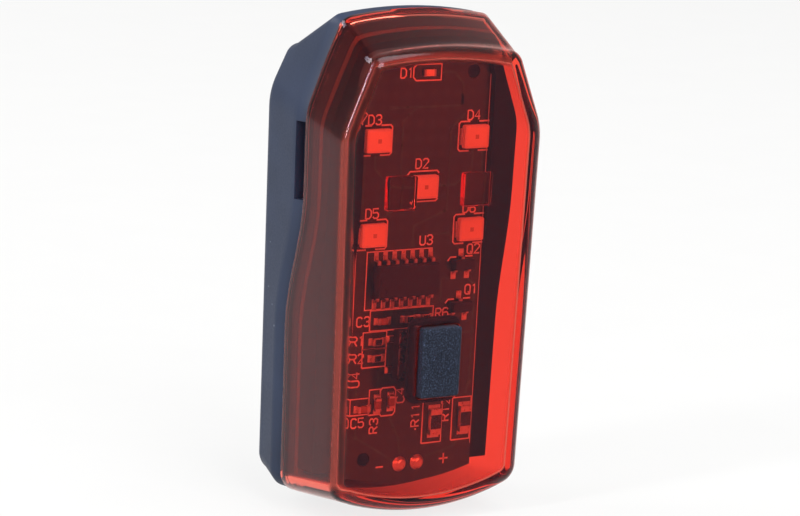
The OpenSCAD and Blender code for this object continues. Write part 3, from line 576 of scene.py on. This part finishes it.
def makeHousing():
    s = Sizes(**housingSizes)
    c = Sizes(**cellSizes)
    f = Sizes(**lightForm)
    mesh = housingShell()
    added = bmesh.new()
    ribs = [(z, s.ribW, s.floorY + 0.6, c.y) for z in s.ribsZ]
    ribs += [(z, 2 * s.endHalf, s.floorY + 0.4, s.endFront) for z in s.endRibsZ]
    for z, wide, back, front in ribs:
        addStack(added, 0, z + s.ribT / 2, wide, s.ribT, 0.1, [(0, back), (0, front)], 2)
    shoeFront = s.backY + s.neckT
    shoeBack = shoeFront + s.shoeT
    addStack(added, 0, s.shoeZ, s.neckW, s.shoeH, s.neckR, [(0, shoeFront + 0.5), (0, s.backY - 0.6)])
    addStack(added, 0, s.shoeZ, s.shoeW, s.shoeH, s.shoeR, softLevels(shoeBack, shoeFront, s.shoeEdge), 6)
    mesh = combine(mesh, "UNION", added)
    taken = bmesh.new()
    for side in (-1, 1):
        addLathe(taken, side * c.pitch / 2, c.y, [(c.d / 2 + c.bayGap, z) for z in (c.lowZ, c.highZ)])
    slotX = -mix(f.footW / 2, f.shoulderW / 2, s.slotZ / (f.height - f.shoulderDown))
    addStack(taken, slotX, s.slotZ, 2 * s.slotDeep, s.slotH, s.slotR, [(0, f.partTop + s.slotW), (0, f.partTop)])
    addStack(taken, 0, s.shoeZ - s.shoeH / 2 + s.latchH, s.latchW, s.latchH, 0.4,
        [(-0.3, shoeBack + 0.3), (-0.3, shoeBack), (0, shoeBack - 0.3), (0, shoeBack - s.shoeT / 2)])
    bm = fromMesh(combine(mesh, "DIFFERENCE", taken))
    piece = newPiece("housing_shell", bm, housingAbs, ["rear_housing"], 28, "rear_unit")
    print("housing:", len(piece.data.polygons), "faces")


makeHousing()

# Seal on the tongue's front edge: a ring with a rounded section
sealSizes = dict(height=0.7, touch=0.05, crown=0.2)


def makeSeal():
    h = Sizes(**housingSizes)
    out = lensSizes["wall"] + h.fit
    ahead = h.tongueH + sealSizes["touch"]
    top = ahead + sealSizes["height"]
    c = sealSizes["crown"]
    wide = h.tongueT
    section = [(ahead, 0), (ahead, wide), (top - c, wide), (top - 0.3 * c, wide - 0.3 * c), (top, wide - c), (top, c),
        (top - 0.3 * c, 0.3 * c), (top - c, 0)]
    bm = bmesh.new()
    addRings(bm, [rimRing(skirtOutline(a, out + i), a) for a, i in section], True)
    newPiece("seal_band", bm, sealRubber, ["seal_ring"], 50, "rear_unit")


makeSeal()


# Cells: film sleeve rolled over the can's shoulders, plain band by the raised end, bare ends
def makeCells():
    c = Sizes(**cellSizes)
    r = c.d / 2
    nub = c.nubD / 2
    end = c.length
    can = end - c.nubH
    sleeve = [(r - 0.75, 0.22), (r - 0.3, 0.2), (r - 0.12, 0.3), (r - 0.03, 0.5), (r, 0.8), (r, 6.0), (r, 20.0),
        (r, can - 1.0), (r - 0.06, can - 0.6), (r - 0.2, can - 0.3), (r - 0.45, can - 0.14), (r - 1.1, can - 0.1)]
    band = [(r - 0.04, can - 9.0), (r + 0.02, can - 8.96), (r + 0.02, can - 1.44), (r - 0.04, can - 1.4)]
    raised = [(nub + 1.2, can - 0.3), (nub + 0.9, can - 0.12), (nub + 0.5, can), (nub, can + 0.02),
        (nub - 0.03, end - 0.25), (nub - 0.12, end - 0.08), (nub - 0.3, end)]
    plain = [(r - 0.7, 0.4), (r - 0.75, 0.12), (r - 0.95, 0), (1.0, 0.02), (0.4, 0.06)]
    for name, x, flip in (("left", -c.pitch / 2, False), ("right", c.pitch / 2, True)):
        sleeveBm, bandBm, endsBm = (bmesh.new() for k in range(3))
        for bm, profile in ((sleeveBm, sleeve), (bandBm, band), (endsBm, raised), (endsBm, plain)):
            addLathe(bm, x, c.y, [(p, c.lowZ + c.seat + end - z if flip else c.lowZ + c.springH + z)
                for p, z in profile])
        newPiece("cell_" + name + "_sleeve", sleeveBm, cellSleeve, ["cell_" + name], 50, "rear_unit")
        newPiece("cell_" + name + "_band", bandBm, cellBand, body="rear_unit")
        newPiece("cell_" + name + "_ends", endsBm, springSteel, (), 50, "rear_unit")
    print("cells ready")


makeCells()

# Springs: conical coils, wide end on the contact
springSizes = dict(turns=2.5, wide=7.4, narrow=4.2, wire=0.5, height=2.98)


def makeSprings():
    s = Sizes(**springSizes)
    c = Sizes(**cellSizes)
    wire = s.wire
    for name, x, z, turn in (("negative_spring", -c.pitch / 2, c.lowZ + wire / 2, 0),
            ("bridge_spring", c.pitch / 2, c.highZ - wire / 2, math.pi)):
        bm = runTree(coilTree, bpy.data.meshes.new("coil"), Turns=s.turns, Wide=(s.wide - wire) / 2 * mm,
            Narrow=(s.narrow - wire) / 2 * mm, Height=(s.height - wire) * mm, Wire=wire / 2 * mm,
            Place=spot(x, c.y, z), Turn=(turn, 0, 0), Finish=springSteel)
        newPiece(name + "_coil", bm, springSteel, [name], 50, "rear_unit")


makeSprings()

# LEDs: white body, shallow window of clear gel, small die, folded ends
ledSizes = dict(w=3.5, h=2.8, t=0.8, r=0.25, windowIn=0.28, windowDeep=0.1, endW=0.5, endT=0.35, endShare=0.7, die=0.5,
    places=((-6.85, 43.9), (6.85, 43.9), (-6.85, 32.8), (6.85, 32.8), (0.0, 38.2)))
indicatorSizes = dict(x=0.0, z=51.6, l=1.6, w=0.8, t=0.5, baseT=0.3, lensShare=0.65, r=0.06, endW=0.26, endT=0.34)


def makeLeds():
    s = Sizes(**ledSizes)
    i = s.windowIn
    front = -s.t
    bodies, gels, ends, dies = (bmesh.new() for k in range(4))
    for x, z in s.places:
        addStack(bodies, x, z, s.w, s.h, s.r, [
            (0.05, -0.1), (0, -0.16), (0.03, front + 0.06), (0.07, front + 0.01), (0.12, front), (i, front),
            (i + 0.06, front + s.windowDeep)])
        addStack(gels, x, z, s.w, s.h, s.r, [(i + 0.1, front + 0.12), (i + 0.01, front + 0.03),
            (i + 0.1, front + 0.02), (i + 0.5, front + 0.005)])
        addStack(dies, x, z, s.die, s.die, 0.03, [(0, front + 0.05), (0, front)])
        for side in (-1, 1):
            addStack(ends, x + side * s.w / 2, z, s.endW, s.h * s.endShare, 0.08, softLevels(-0.012, -s.endT, 0.05))
    newPiece("led_bodies", bodies, ledBody, ["corner_leds", "centre_led"])
    newPiece("led_windows", gels, ledGel)
    newPiece("led_dies", dies, ledDie)
    newPiece("led_ends", ends, leadTin)
    p = Sizes(**indicatorSizes)
    front = -p.t
    body, ends = bmesh.new(), bmesh.new()
    addStack(body, p.x, p.z, p.l, p.w, p.r, softLevels(-0.012, -p.baseT, 0.03))
    addStack(body, p.x, p.z, p.l * p.lensShare, p.w, p.r,
        [(0, -0.25), (0.02, front + 0.08), (0.08, front + 0.01), (0.16, front)])
    for side in (-1, 1):
        addStack(ends, p.x + side * (p.l / 2 - 0.1), p.z, p.endW, p.w + 0.02, 0.05, softLevels(-0.01, -p.endT, 0.03))
    newPiece("indicator_body", body, ledGel, ["indicator_led"])
    newPiece("indicator_ends", ends, leadTin)
    print("leds ready")


makeLeds()

# Control chip and transistors: moulded bodies with a waist line, bent leads
chipSizes = dict(x=-2.2, z=27.3, l=8.64, h=3.9, t=1.5, off=0.12, r=0.06, pitch=1.27, count=7, span=6.0, rise=0.8,
    leadW=0.42, leadT=0.2, leadEdge=0.04, dimples=((0.8, -1.15, 0.8, 0.8, 0.39), (0.1, 0, 0.9, 1.0, 0.44)),
    pad=(0.62, 1.15, 0.1), padLevels=((0, 0.01), (0.01, -0.03), (0.08, -0.06), (0.16, -0.08)))
transistorSizes = dict(places=((6.0, 28.6), (6.0, 23.5)), l=2.9, h=1.3, t=1.0, off=0.12, r=0.06, reach=0.6, rise=0.6,
    pad=(0.75, 0.95, 0.1), padOut=1.35, padLevels=((0, 0.01), (0.01, -0.03), (0.1, -0.06), (0.2, -0.08)))


def addLead(bm, x, z, up, reach, rise):  # bent lead from a body's side to the board, up is its way along z
    t, w, c = chipSizes["leadT"], chipSizes["leadW"], chipSizes["leadEdge"]
    path = [(-0.05, rise), (0.3 * reach, rise), (0.4 * reach, rise - 0.04), (0.47 * reach, rise - 0.13),
        (0.52 * reach, t + 0.1), (0.58 * reach, t + 0.02), (0.66 * reach, t), (reach - 0.03, t), (reach, t - 0.04),
        (reach, 0.01), (0.5 * reach, 0.01), (0.42 * reach, 0.06), (0.36 * reach, 0.2),
        (0.33 * reach, rise - t - 0.06), (0.26 * reach, rise - t), (-0.05, rise - t)]
    addSolid(bm, [[spot(x + side, -b, z + up * a) for a, b in path] for side in (-w / 2, -w / 2 + c, w / 2 - c, w / 2)])


def makeChip():
    s = Sizes(**chipSizes)
    base = -s.off
    front = base - s.t
    bm = bmesh.new()
    addStack(bm, s.x, s.z, s.l, s.h, s.r, [
        (0.14, base), (0.03, base - 0.62), (0, base - 0.65), (0, base - 0.78), (0.03, base - 0.81),
        (0.14, front + 0.03), (0.17, front)])
    bmesh.ops.recalc_face_normals(bm, faces=bm.faces)
    dimples = bmesh.new()
    for dx, dz, w, h, r in s.dimples:
        addStack(dimples, s.x - s.l / 2 + dx, s.z + dz, w, h, r,
            [(0.05, front + 0.1), (0, front + 0.06), (0, front - 0.3)], 6)
    bm = fromMesh(combine(toMesh(bm, "chip"), "DIFFERENCE", dimples))
    newPiece("chip_body", bm, chipEpoxy, ["control_chip"], 20)
    bm = bmesh.new()
    first = s.x - (s.count - 1) * s.pitch / 2
    for up in (-1, 1):
        addLead(bm, first, s.z + up * s.h / 2, up, (s.span - s.h) / 2, s.rise)
    bm = runTree(rowTree, toMesh(bm, "lead"), Count=s.count, Step=(s.pitch * mm, 0, 0), Finish=leadTin)
    newPiece("chip_lead_rows", bm, leadTin, ["chip_leads"])


def makeTransistors():
    s = Sizes(**transistorSizes)
    base = -s.off
    front = base - s.t
    body, leads = bmesh.new(), bmesh.new()
    for x, z in s.places:
        addStack(body, x, z, s.l, s.h, s.r, [(0.08, base), (0.01, base - 0.42), (0, base - 0.5),
            (0.01, base - 0.58), (0.09, front + 0.03), (0.12, front)])
        for dx, up in ((0, 1), (-s.l / 3, -1), (s.l / 3, -1)):
            addLead(leads, x + dx, z + up * s.h / 2, up, s.reach, s.rise)
    newPiece("transistor_bodies", body, chipEpoxy, ["transistors"], 20)
    newPiece("transistor_lead_set", leads, leadTin, ["transistor_leads"])
    print("chips ready")


makeChip()
makeTransistors()

# Chip resistors and capacitors, each a place and whether it stands upright
chipParts = dict(small=(1.6, 0.8, 0.5), large=(3.2, 1.6, 0.6), endShare=0.22, bodyShare=1.6, glazeShare=2.1,
    padW=0.6, padOut=0.12, padLevels=((0, 0.01), (0.01, -0.03), (0.1, -0.07), (0.2, -0.1)),
    resistors=((-1.0, 22.4, 0), (1.3, 22.4, 0), (-5.3, 20.0, 0), (-5.3, 18.0, 0)),
    capacitors=((-4.7, 22.4, 0), (-6.9, 12.0, 0), (-4.9, 12.4, 1), (-3.0, 12.6, 1)),
    loads=((3.4, 9.6, 1), (7.7, 9.6, 1)))


def addChipPart(body, ends, glaze, pads, place, sizes):
    s = Sizes(**chipParts)
    x, z, upright = place
    l, w, t = sizes
    share = s.endShare

    def add(bm, off, a, b, r, levels, steps):  # off and a run along the part, b across it
        if upright:
            addStack(bm, x, z + off, b, a, r, levels, steps)
        else:
            addStack(bm, x + off, z, a, b, r, levels, steps)

    add(body, 0, l * (1 - s.bodyShare * share), w - 0.04, 0.03, softLevels(-0.02, -t + 0.06, 0.02), 2)
    if glaze is not None:
        add(glaze, 0, l * (1 - s.glazeShare * share), w - 0.1, 0.04,
            [(0, -t + 0.08), (0.01, -t + 0.04), (0.06, -t + 0.03)], 2)
    for side in (-1, 1):
        add(ends, side * l * (1 - share) / 2, l * share, w, 0.05, softLevels(-0.012, -t, 0.05), 3)
        add(pads, side * (l / 2 + s.padOut), s.padW, w + 0.1, 0.08, s.padLevels, 3)


def makeChipParts():
    s = Sizes(**chipParts)
    resistors, capacitors, ends, glaze, pads, loads, loadEnds = (bmesh.new() for k in range(7))
    for places, body, caps, top, sizes in ((s.resistors, resistors, ends, glaze, s.small),
            (s.capacitors, capacitors, ends, None, s.small), (s.loads, loads, loadEnds, glaze, s.large)):
        for place in places:
            addChipPart(body, caps, top, pads, place, sizes)
    newPiece("resistor_bodies", resistors, resistorCeramic, ["chip_resistors"])
    newPiece("capacitor_bodies", capacitors, capCeramic, ["chip_capacitors"])
    newPiece("chip_end_caps", ends, solderTin, ["chip_ends"])
    newPiece("resistor_glaze", glaze, resistorGlaze)
    newPiece("load_bodies", loads, resistorCeramic, ["load_resistors"])
    newPiece("load_end_caps", loadEnds, solderTin, ["load_ends"])
    t = Sizes(**transistorSizes)
    for x, z in t.places:
        for dx, dz in ((0, t.padOut), (-t.l / 3, -t.padOut), (t.l / 3, -t.padOut)):
            addStack(pads, x + dx, z + dz, *t.pad, t.padLevels, 3)
    c = Sizes(**chipSizes)
    for k in range(c.count):
        for up in (-1, 1):
            addStack(pads, c.x + (k - (c.count - 1) / 2) * c.pitch, c.z + up * (c.span / 2 - 0.1),
                *c.pad, c.padLevels, 3)
    newPiece("solder_pads", pads, solderTin)
    print("chip parts ready")


makeChipParts()

# Solder joints round the contact pins, in a row of two
jointSizes = dict(x=-1.25, z=4.8, step=2.5, d=1.9, t=0.6)


def makeJoints():
    s = Sizes(**jointSizes)
    bm = bmesh.new()
    levels = [(0, -0.01), (0.03, -0.06), (0.13, -0.16), (0.26, -0.34), (0.36, -0.5), (0.5, -0.58), (0.62, -s.t),
        (0.74, -s.t + 0.03)]
    addStack(bm, s.x, s.z, s.d, s.d, s.d / 2 - 0.005, levels, 8)
    bm = runTree(rowTree, toMesh(bm, "joint"), Count=2, Step=(s.step * mm, 0, 0), Finish=solderTin)
    newPiece("solder_cones", bm, solderTin, ["solder_joints"], 60)


makeJoints()

# Board legend: frames, brackets and part numbers in one stroke width; tracks under the mask; vias
glyphs = {
    "C": [[(4, 5), (3, 6), (1, 6), (0, 5), (0, 1), (1, 0), (3, 0), (4, 1)]],
    "D": [[(0, 0), (0, 6), (2.6, 6), (4, 4.6), (4, 1.4), (2.6, 0), (0, 0)]],
    "Q": [[(1, 0), (0, 1), (0, 5), (1, 6), (3, 6), (4, 5), (4, 1), (3, 0), (1, 0)], [(2.4, 1.6), (4, -0.3)]],
    "R": [[(0, 0), (0, 6), (3, 6), (4, 5), (4, 4), (3, 3), (0, 3)], [(2, 3), (4, 0)]],
    "U": [[(0, 6), (0, 1), (1, 0), (3, 0), (4, 1), (4, 6)]],
    "1": [[(0.8, 5), (2, 6), (2, 0)]],
    "2": [[(0, 5), (1, 6), (3, 6), (4, 5), (4, 4), (0, 0), (4, 0)]],
    "3": [[(0, 5), (1, 6), (3, 6), (4, 5), (4, 4), (3, 3), (1.6, 3)], [(3, 3), (4, 2), (4, 1), (3, 0), (1, 0), (0, 1)]],
    "4": [[(3, 0), (3, 6), (0, 2), (4, 2)]],
    "5": [[(4, 6), (0, 6), (0, 3.4), (3, 3.6), (4, 2.6), (4, 1), (3, 0), (1, 0), (0, 1)]],
    "6": [[(4, 5), (3, 6), (1, 6), (0, 5), (0, 1), (1, 0), (3, 0), (4, 1), (4, 2.4), (3, 3.4), (0, 3)]],
    "7": [[(0, 6), (4, 6), (1.4, 0)]],
    "+": [[(-1.4, 3), (5.4, 3)], [(2, -0.4), (2, 6.4)]],
    "-": [[(-0.8, 3), (4.8, 3)]],
}
legend = dict(
    width=0.2, thickness=0.05, size=1.12, tall=6, wide=4, step=5.4, edgeW=0.08, edgeGap=0.25, edgeZ=(6.4, 51.2),
    labels=(("D1", -3.05, 51.63, 0), ("D3", -7.17, 46.3, 0), ("D4", 6.76, 46.4, 0), ("D2", -0.27, 40.9, 0),
        ("D5", -6.91, 35.3, 0), ("D6", 6.8, 35.3, 0), ("U3", 0.89, 31.75, 0), ("Q2", 7.75, 30.3, 0),
        ("Q1", 7.75, 25.4, 0), ("C3", -7.4, 22.5, 0), ("R6", 3.7, 22.8, 0), ("R7", -1.7, 20.3, 0),
        ("R1", -8.0, 20.2, 0), ("R2", -8.0, 18.1, 0), ("U4", -8.1, 15.6, 1), ("C5", -7.5, 10.35, 0),
        ("C4", -1.6, 13.2, 1), ("R3", -5.2, 9.8, 1), ("R11", 0.7, 10.6, 1), ("R12", 4.98, 10.9, 1),
        ("+", 5.1, 4.86, 0), ("-", -4.06, 4.68, 0)),
    frames=((-6.45, 21.27, 2.43, 23.73), (-7.3, 19.12, -4.0, 21.17), (-7.3, 16.94, -4.0, 19.1),
        (-8.65, 11.3, -6.05, 13.25), (-6.0, 11.15, -4.5, 14.2), (1.74, 7.0, 4.53, 12.1), (6.0, 7.0, 8.7, 12.2)),
    outlines=(((-1.75, 50.7), (-2.15, 51.1), (-2.15, 52.2), (-1.75, 52.6), (1.75, 52.6), (1.75, 50.7), (-1.75, 50.7)),
        ((-2.6, 10.9), (-2.3, 11.3), (-2.3, 13.9), (-2.6, 14.3), (-4.2, 14.3), (-4.45, 14.0), (-4.45, 11.2),
        (-4.2, 10.9), (-2.6, 10.9)),
        ((1.8, 29.6), (1.8, 30.75), (-7.3, 30.75), (-7.3, 23.85), (1.8, 23.85), (1.8, 25.2))),
    centreMarks=(((-2.3, 1.35), (-1.9, 1.8), (1.9, 1.8), (2.2, 1.5)),
        ((-2.2, -1.5), (-1.9, -1.8), (1.9, -1.8), (2.2, -1.5))),
    transistorMarks=(((-1.9, 0.4), (-1.5, 0.85), (-0.65, 0.85)), ((0.65, 0.85), (1.7, 0.85))),
    dots=((0.8, 8.85), (-6.2, 25.0)), dotMark=(((-0.1, 0), (0.1, 0)),))
tracks = dict(
    width=0.32, y=0.012, viaD=0.6, viaLevels=((0, 0.01), (0.01, -0.025), (0.12, -0.03), (0.17, 0.005)), lines=(
    ((-6.85, 42.2), (-6.85, 40.6), (-4.6, 38.2), (-2.0, 38.2)), ((6.85, 42.2), (6.85, 40.0), (4.6, 38.2), (2.0, 38.2)),
    ((-8.3, 43.9), (-8.3, 33.5)), ((8.3, 43.9), (8.3, 33.5)), ((-5.0, 47.6), (5.0, 47.6), (5.0, 49.0)),
    ((1.2, 51.6), (3.6, 51.6), (5.0, 50.2), (5.0, 47.6)),
    ((-6.0, 31.4), (-6.0, 34.5), (-3.2, 36.0), (-3.2, 46.0), (-1.4, 47.6)),
    ((-1.0, 31.0), (-1.0, 33.5), (3.6, 35.2), (3.6, 45.0), (5.4, 46.6)),
    ((0.3, 31.0), (0.3, 32.4), (4.0, 32.4), (5.6, 30.4)), ((4.8, 27.0), (3.4, 27.0), (3.4, 24.4)),
    ((6.9, 26.9), (8.2, 26.0), (8.2, 14.0), (7.7, 12.6)), ((-3.5, 24.0), (-3.5, 22.9)), ((-0.2, 24.0), (-0.2, 22.9)),
    ((-7.9, 16.6), (-7.9, 13.6)), ((-4.9, 13.6), (-4.9, 16.2)), ((-3.0, 10.6), (-1.6, 8.0), (-1.3, 6.0)),
    ((3.4, 7.6), (1.6, 6.2)), ((7.7, 7.6), (6.2, 6.2), (2.4, 5.4)), ((-7.7, 11.0), (-7.7, 8.6), (-2.4, 5.4)),
    ((4.0, 20.2), (8.6, 20.2)), ((-3.0, 16.6), (-4.4, 16.6))),
    vias=((-3.2, 46.0), (3.6, 45.0), (5.0, 49.0), (-5.0, 47.6), (4.0, 32.4), (3.4, 24.4), (8.2, 14.0), (-4.9, 16.2),
        (-4.4, 16.6), (4.0, 20.2), (-7.7, 8.6), (3.0, 15.0), (-2.4, 9.2), (8.3, 33.5), (-8.3, 33.5)))


def moved(lines, x, z):
    return [[(x + a, z + b) for a, b in line] for line in lines]


def textLines(text, x, z, turned):
    u = legend["size"] / legend["tall"]
    step = legend["step"]
    wide = (len(text) * step - (step - legend["wide"])) * u
    lines = []
    for k, letter in enumerate(text):
        for line in glyphs[letter]:
            flat = [(-wide / 2 + (k * step + a) * u, (b - legend["tall"] / 2) * u) for a, b in line]
            lines.append([(-b, a) if turned else (a, b) for a, b in flat])
    return moved(lines, x, z)


def bracketLines(x, z):  # round a corner LED: open at the board's side, gaps above and below
    s = -1 if x > 0 else 1
    w, h = ledSizes["w"] / 2 + 0.4, ledSizes["h"] / 2 + 0.35
    lines = []
    for up in (-1, 1):
        lines.append([(-s * w, up * h), (-s * 0.7, up * h)])
        lines.append([(s * 0.6, up * h), (s * (w - 0.25), up * h), (s * w, up * (h - 0.25)), (s * w, 0)])
    return moved(lines, x, z)


def legendLines():
    lines = []
    for label in legend["labels"]:
        lines += textLines(*label)
    for x0, z0, x1, z1 in legend["frames"]:
        lines.append([(x0, z0), (x1, z0), (x1, z1), (x0, z1), (x0, z0)])
    *cornerPlaces, centrePlace = ledSizes["places"]
    for place in cornerPlaces:
        lines += bracketLines(*place)
    lines += moved(legend["centreMarks"], *centrePlace)
    lines += legend["outlines"]
    for place in transistorSizes["places"]:
        lines += moved(legend["transistorMarks"], *place)
    for place in legend["dots"]:
        lines += moved(legend["dotMark"], *place)
    return lines


def boardEdges():  # routed edges, where the pale laminate shows
    x = ledSizes["places"][1][0] + ledSizes["w"] / 2 + legend["edgeGap"]
    return [[(side * x, z) for z in legend["edgeZ"]] for side in (-1, 1)]


def makeLegend():
    for name, lines, width, y, ink in (("board_legend", legendLines(), legend["width"], 0, legendInk),
            ("board_tracks", tracks["lines"], tracks["width"], tracks["y"], trackMask),
            ("board_edges", boardEdges(), legend["edgeW"], 0, legendInk)):
        newPiece(name, drawStrokes(lines, width, legend["thickness"], y, ink), ink)
    bm = bmesh.new()
    d = tracks["viaD"]
    for x, z in tracks["vias"]:
        addStack(bm, x, z, d, d, d / 2 - 0.005, tracks["viaLevels"], 4)
    newPiece("board_vias", bm, trackMask)
    print("legend ready")


makeLegend()

# Tact switch: staked corners on the sheet cover, solder at the feet
switchSizes = dict(z=18.3, w=6.0, t=1.5, stake=0.7, stakeIn=0.75, footOut=0.5, footUp=1.85, foot=(1.1, 0.9, 0.12),
    footLevels=((0, 0.01), (0.01, -0.04), (0.12, -0.16), (0.25, -0.24)))


def makeSwitch():
    s = Sizes(**switchSizes)
    d = s.stake
    front = -s.t
    off = s.w / 2 - s.stakeIn
    stakes, solder = bmesh.new(), bmesh.new()
    for x in (-1, 1):
        for z in (-1, 1):
            addStack(stakes, x * off, s.z + z * off, d, d, d / 2 - 0.01,
                [(0, front + 0.1), (0, front - 0.05), (0.06, front - 0.12), (0.15, front - 0.15)], 5)
            addStack(solder, x * (s.w / 2 + s.footOut), s.z + z * s.footUp, *s.foot, s.footLevels, 3)
    newPiece("switch_stakes", stakes, chipEpoxy)
    newPiece("switch_solder", solder, solderTin)


makeSwitch()

# Mode button: soft crowned face, flange behind the lens, nub over the plunger, raised power sign
buttonSizes = dict(x=0.33, z=18.15, w=5.45, h=8.4, r=0.4, faceY=-5.3, inY=-3.8, play=0.05, proud=0.9, flangeW=0.9,
    flangeT=0.7, nubD=3.0, nubEnd=-2.2, signR=1.25, signW=0.3, signUp=0.08, signDown=0.15, signGap=0.65,
    signBar=(0.15, 0.8, 1.45))


def makeButton():
    s = Sizes(**buttonSizes)
    front = s.faceY - s.proud
    out = -s.flangeW
    base = s.inY + s.play
    back = base + s.flangeT
    bm = bmesh.new()
    levels = [(1.6, back), (out + 0.1, back), (out, back - 0.1), (out, base + 0.06), (out + 0.06, base), (0, base),
        (0, front + 0.34), (0.03, front + 0.24), (0.1, front + 0.16), (0.22, front + 0.12), (0.5, front + 0.1),
        (1.1, front + 0.085), (2.4, front + 0.08)]
    addStack(bm, s.x, s.z, s.w, s.h, s.r, levels, 6)
    addStack(bm, 0, switchSizes["z"], s.nubD, s.nubD, s.nubD / 2 - 0.01,
        [(0.1, s.nubEnd), (0, s.nubEnd - 0.1), (0, base + 0.2)], 8)
    newPiece("button_pad", bm, buttonRubber, ["mode_button"], 50, "button")
    start = math.pi / 2 + s.signGap
    end = math.pi / 2 + 2 * math.pi - s.signGap
    ring = arc(s.x, s.z - s.signDown, s.signR, start, end, 28)
    bar = [(s.x, s.z + up) for up in s.signBar]
    sign = drawStrokes([ring, bar], s.signW, 2 * s.signUp, front + 0.085, buttonRubber)
    newPiece("button_sign", sign, buttonRubber, (), 50, "button")
    print("button ready")


makeButton()

# Nodes of the frame that stay, with their finishes
nodeFinishes = dict(bridge_contact=springSteel, negative_contact=springSteel, positive_contact=springSteel,
    board_carrier=carrierAbs, circuit_board=boardMask, switch_case=chipEpoxy, switch_cover=springSteel,
    contact_fingers=fingerBronze, switch_plunger=chipEpoxy)
for name, material in nodeFinishes.items():
    for slot in nodes[name].material_slots:
        slot.material = material
print("pieces ready")

# Camera: left of the front, a little above, rolled as the picture is; offsets are pixels of the picture
cameraFit = dict(azimuth=-34.5, elevation=10.769, roll=3.126, distance=360.954, focal=138.08, sensor=36, offX=15.88,
    offY=-4.09, picture=800, near=0.01, aim=(0.0, 0.0, 30.0))


def makeCamera():
    c = Sizes(**cameraFit)
    a, e, r = (math.radians(v) for v in (c.azimuth, c.elevation, c.roll))
    back = Vector((math.sin(a) * math.cos(e), -math.cos(a) * math.cos(e), math.sin(e)))
    right = Vector((math.cos(a), math.sin(a), 0))
    up = back.cross(right)
    turned = Matrix((right * math.cos(r) + up * math.sin(r), up * math.cos(r) - right * math.sin(r), back)).transposed()
    data = bpy.data.cameras.new("camera")
    data.sensor_width = c.sensor
    data.lens = c.focal
    data.shift_x = -c.offX / c.picture
    data.shift_y = c.offY / c.picture
    data.clip_start = c.near
    camera = newObject("camera", data)
    camera.matrix_world = Matrix.Translation(spot(*c.aim) + back * c.distance * mm) @ turned.to_4x4()
    scene.camera = camera


makeCamera()

# Floor, world and lamps: paper that is lightened for the camera, in reflections and through the lens, and keeps the
# light's soft shadow; an even white world; four area lamps; lengths here are metres
stageSizes = dict(half=4.0, under=0.0002, lightened=0.8, sky=0.55)


def makeFloor():
    s = Sizes(**stageSizes)
    material = bpy.data.materials.new("floor_paper_white")
    material.use_nodes = True
    tree = material.node_tree
    tree.nodes.remove(tree.nodes["Principled BSDF"])
    path = addNode(tree, "LightPath").outputs
    seen = path["Is Camera Ray"]
    for ray in ("Is Glossy Ray", "Is Transmission Ray"):
        seen = addNode(tree, "Math", {0: seen, 1: path[ray]}, operation="MAXIMUM")
    share = addNode(tree, "Math", {0: seen, 1: s.lightened}, operation="MULTIPLY")
    fibre = addNode(tree, "TexNoise", {"Scale": perMm(1.5), "Detail": 3.0})
    tint = addNode(tree, "Mix", {0: fibre, 6: "#BABAB8", 7: "#C2C2C0"}, data_type="RGBA")
    paper = addNode(tree, "BsdfDiffuse", {"Color": tint.outputs[2]})
    white = addNode(tree, "Emission", {"Color": (1, 1, 1, 1), "Strength": 1.0})
    both = addNode(tree, "MixShader", {0: share, 1: paper, 2: white})
    setInputs(tree, tree.nodes["Material Output"], {"Surface": both})
    mesh = bpy.data.meshes.new("floor")
    low = cadBox[0][2] - s.under
    corners = ((-1, -1), (1, -1), (1, 1), (-1, 1))
    mesh.from_pydata([(x * s.half, y * s.half, low) for x, y in corners], [], [(0, 1, 2, 3)])
    mesh.materials.append(material)
    floor = newObject("floor", mesh)


def makeWorld():
    world = bpy.data.worlds.new("studio")
    world.use_nodes = True
    scene.world = world
    sky = world.node_tree.nodes["Background"]
    setInputs(world.node_tree, sky, {"Color": (1, 1, 1, 1), "Strength": stageSizes["sky"]})


def addLamp(name, place, target, w, h, power):  # power in watts
    data = bpy.data.lights.new(name, "AREA")
    data.shape = "RECTANGLE"
    data.size, data.size_y = w, h
    data.energy = power
    lamp = newObject(name, data)
    lamp.location = place
    lamp.rotation_euler = (Vector(target) - Vector(place)).to_track_quat("-Z", "Y").to_euler()


makeFloor()
makeWorld()
addLamp("key_left", (-1.04, -0.15, 0.49), (0, -0.015, 0.02), 0.13, 0.8, 12.0)
addLamp("top_soft", (0.15, -0.45, 1.0), (0, 0, 0), 0.8, 0.8, 8.0)
addLamp("side_left", (-0.6, 0.66, 0.8), (0, 0, 0), 0.5, 0.4, 6.0)
addLamp("front_soft", (-0.1, -1.1, 0.65), (0, 0, 0), 0.8, 0.6, 13.4)
print("stage ready")
